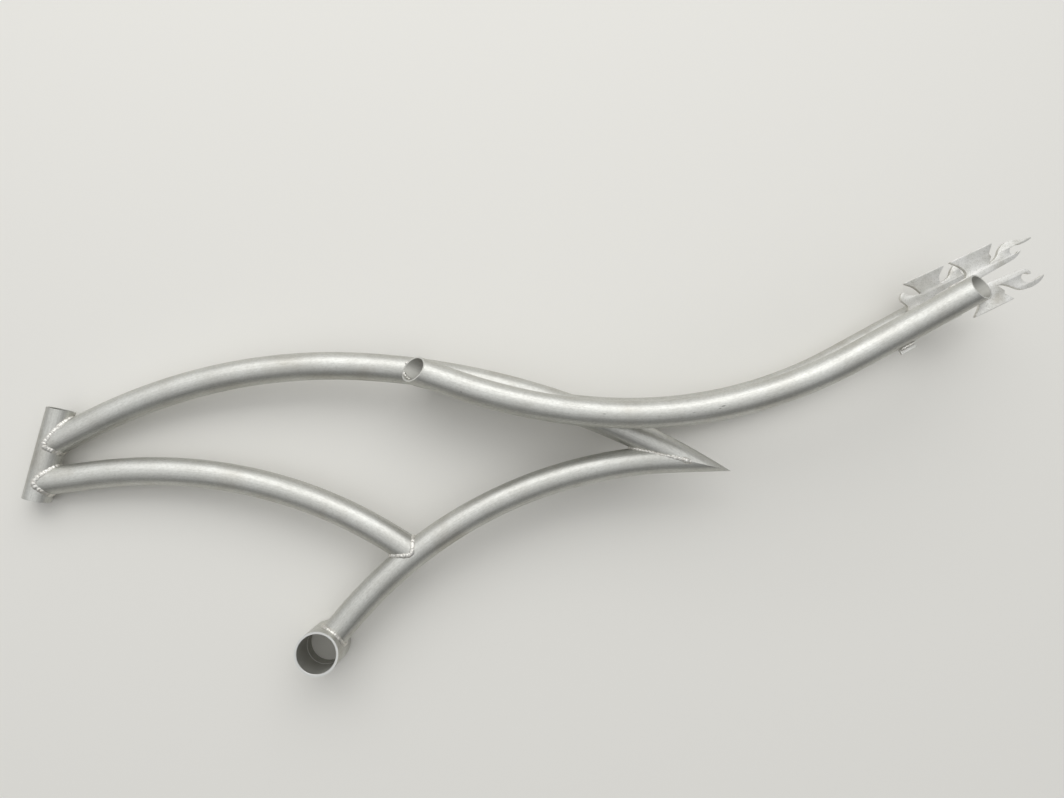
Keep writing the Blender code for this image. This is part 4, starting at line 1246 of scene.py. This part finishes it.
class BICYCLE_OT_welds(bpy.types.Operator):
    """Lay the weld beads"""

    bl_idname = "bicycle.welds"
    bl_label = "Weld Beads"

    def execute(self, context):
        look = context.scene.bicycle_sizes
        for number, (name, (line, closed, between)) in enumerate(welds.items()):
            width = look.thin_bead_width if name in THIN_BEADS else look.bead_width
            if name in RINGS:
                share, depth = RINGS[name]
                width *= share
                line = eased(line, depth)
            mesh = bead_mesh(name, line, closed, BEAD_RADIUS * width, float(number))
            mesh = cut(mesh, *(core(neighbour) for neighbour in between), solver="MANIFOLD")
            more = []
            if name == "weld_seat_tube_top_tube":
                more.append((seam_line(), SEAM_BEAD_RADIUS, SEAM_SEED))
            if name == "weld_left_stay_front":
                more += [(drop_line(*drop), drop[-1], DROP_SEED + i) for i, drop in enumerate(MOUTH_DROPS)]
            for extra, radius, seed in more:
                mesh = joined(mesh, bead_mesh(name, extra, False, radius, seed))
            settle(name.replace("weld", "bead"), mesh, weld_steel(), "weld_steel", name)
        return {"FINISHED"}


def eased(line, depth):
    """A ring's line with its corners eased, as the weld pool rounds them, and set deeper."""
    points, outs = zip(*line)
    for _ in range(CORNER_PASSES):
        points = [(points[i - 1] + 2 * point + points[(i + 1) % len(points)]) / 4 for i, point in enumerate(points)]
    return [(point - out * depth, out) for point, out in zip(points, outs)]


def bead_mesh(name, line, closed, radius, seed):
    """Mesh of one bead along a line. An open one tapers to round ends."""
    look = bpy.context.scene.bicycle_sizes
    points, outs = zip(*line)
    widths = [1.0] * len(line)
    if not closed:
        run = [0.0]
        for before, after in zip(points, points[1:]):
            run.append(run[-1] + (after - before).length)
        for i, here in enumerate(run):
            end = min(here, run[-1] - here) / radius
            widths[i] = BEAD_END + (1 - BEAD_END) * math.sqrt(min(end / BEAD_TAPER, 1))
    sizes = {"Radius": radius, "Ripple Pitch": look.bead_pitch, "Ripple Depth": look.bead_depth,
             "Unevenness": look.bead_unevenness, "Seed": seed, "Step": look.bead_step, "Sides": BEAD_SIDES}
    return grown(name, polyline(name, points, closed, out=outs, width=widths), bead_tree(), sizes)


def drop_line(station, above, outward, size):
    """Short line of a drop of weld metal beside the left stay."""
    axis = stay_axes[1]
    heading = axis.at(station)[1]
    middle = stay_point(axis, 1, station) + across(heading).to_3d() * above + Vector((0, 0, outward))
    step = along(heading).to_3d() * size
    return [(middle + step * share, Vector((0, 0, 1))) for share in (-1, -0.5, 0, 0.5, 1)]


def seam_line():
    """Line of the flat bead over the middle of the tail's mitre."""
    first, last = SEAM_BEAD
    angles = [first + (last - first) * i / RING_STEPS for i in range(RING_STEPS + 1)]
    return [(point - out * SEAM_BEAD_SINK, out) for point, out in mitre_ring(angles)]


class BICYCLE_OT_stage(bpy.types.Operator):
    """Set the floor, the lamps and the camera"""

    bl_idname = "bicycle.stage"
    bl_label = "Stage"

    def execute(self, context):
        mesh = bpy.data.meshes.new("studio_floor")
        with reworked(mesh) as body:
            bmesh.ops.create_grid(body, x_segments=1, y_segments=1, size=FLOOR_REACH)
        floor = loose("studio_floor", mesh)
        floor.location.z = min(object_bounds()[0].z, 0) - FLOOR_DROP
        mesh.materials.append(floor_paint())
        floor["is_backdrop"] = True
        context.scene.world = studio_light()
        lamp = bpy.data.lights.new("key", "AREA")
        lamp.shape = "RECTANGLE"
        lamp.size, lamp.size_y = KEY_SIZE
        lamp.energy = KEY_POWER
        thing = loose("key", lamp)
        thing.location = KEY_PLACE
        thing.rotation_euler = (-Vector(KEY_PLACE)).to_track_quat("-Z", "Y").to_euler()
        camera = bpy.data.cameras.new("photo_view")
        camera.sensor_width = SENSOR_WIDTH
        camera.lens = LENS
        camera.clip_start = 0.01
        thing = loose("photo_view", camera)
        thing.matrix_world = lying @ view_matrix()
        context.scene.camera = thing
        context.scene.view_settings.view_transform = "Standard"
        return {"FINISHED"}


def floor_paint():
    """Matt rolled paint of a studio floor, plain and pale."""
    paint = bpy.data.materials.new("matt_floor_paint")
    paint.use_nodes = True
    shader = paint.node_tree.nodes["Principled BSDF"]
    shader.inputs["Base Color"].default_value = (*bpy.context.scene.bicycle_finish.floor, 1)
    shader.inputs["Roughness"].default_value = 0.9
    return paint


def studio_light():
    """Light of a studio without edges: brightest overhead and beyond the frame's upper side, dim below it."""
    world = bpy.data.worlds.new("studio")
    world.use_nodes = True
    tree = world.node_tree
    way = add(tree, "ShaderNodeTexCoord").outputs["Generated"]
    toward = add(tree, "ShaderNodeVectorMath", {0: way, 1: BRIGHT_WAY}, operation="DOT_PRODUCT").outputs["Value"]
    ground = tree.nodes["Background"]
    ground.inputs["Color"].default_value = WORLD_COLOUR
    tree.links.new(band(tree, toward, 0.0, 0.95, *WORLD_LIGHT), ground.inputs["Strength"])
    return world


def view_matrix():
    """Camera's place over the plane of the bicycle, from where the photograph's lines across the frame meet."""
    offset = (Vector(VANISHING_POINT) - Vector(PHOTO_MIDDLE)) / FOCAL_LENGTH
    away = Vector((*offset, 1)).normalized()
    rear = (Vector((1, 0, 0)) - away * away.x).normalized()
    left = -away
    turn = Matrix((rear, left.cross(rear), left)) @ Matrix.Diagonal((1, -1, -1))
    return Matrix.Translation(EYE) @ turn.to_4x4()


class BICYCLE_PT_panel(bpy.types.Panel):
    """Sizes, colours and steps of the bicycle frame"""

    bl_label = "Bicycle Frame"
    bl_idname = "BICYCLE_PT_panel"
    bl_space_type = "VIEW_3D"
    bl_region_type = "UI"
    bl_category = "Bicycle"

    def draw(self, context):
        for group in (context.scene.bicycle_sizes, context.scene.bicycle_finish):
            for name in group.bl_rna.properties.keys():
                if name not in ("rna_type", "name"):
                    self.layout.prop(group, name)
        for operator in operators:
            self.layout.operator(operator.bl_idname)


operators = (BICYCLE_OT_turned, BICYCLE_OT_main_tubes, BICYCLE_OT_stays, BICYCLE_OT_plates, BICYCLE_OT_welds,
             BICYCLE_OT_stage)
classes = (BicycleSizes, BicycleFinish, *operators, BICYCLE_PT_panel)


def register():
    """Add the classes and the settings."""
    for item in classes:
        bpy.utils.register_class(item)
    bpy.types.Scene.bicycle_sizes = bpy.props.PointerProperty(type=BicycleSizes)
    bpy.types.Scene.bicycle_finish = bpy.props.PointerProperty(type=BicycleFinish)


def unregister():
    """Take the settings and the classes away."""
    del bpy.types.Scene.bicycle_finish
    del bpy.types.Scene.bicycle_sizes
    for item in reversed(classes):
        bpy.utils.unregister_class(item)


def main():
    """Make every piece and the stage."""
    register()
    bpy.ops.bicycle.turned()
    bpy.ops.bicycle.main_tubes()
    bpy.ops.bicycle.stays()
    bpy.ops.bicycle.plates()
    bpy.ops.bicycle.welds()
    bpy.ops.bicycle.stage()


if __name__ == "__main__":
    main()
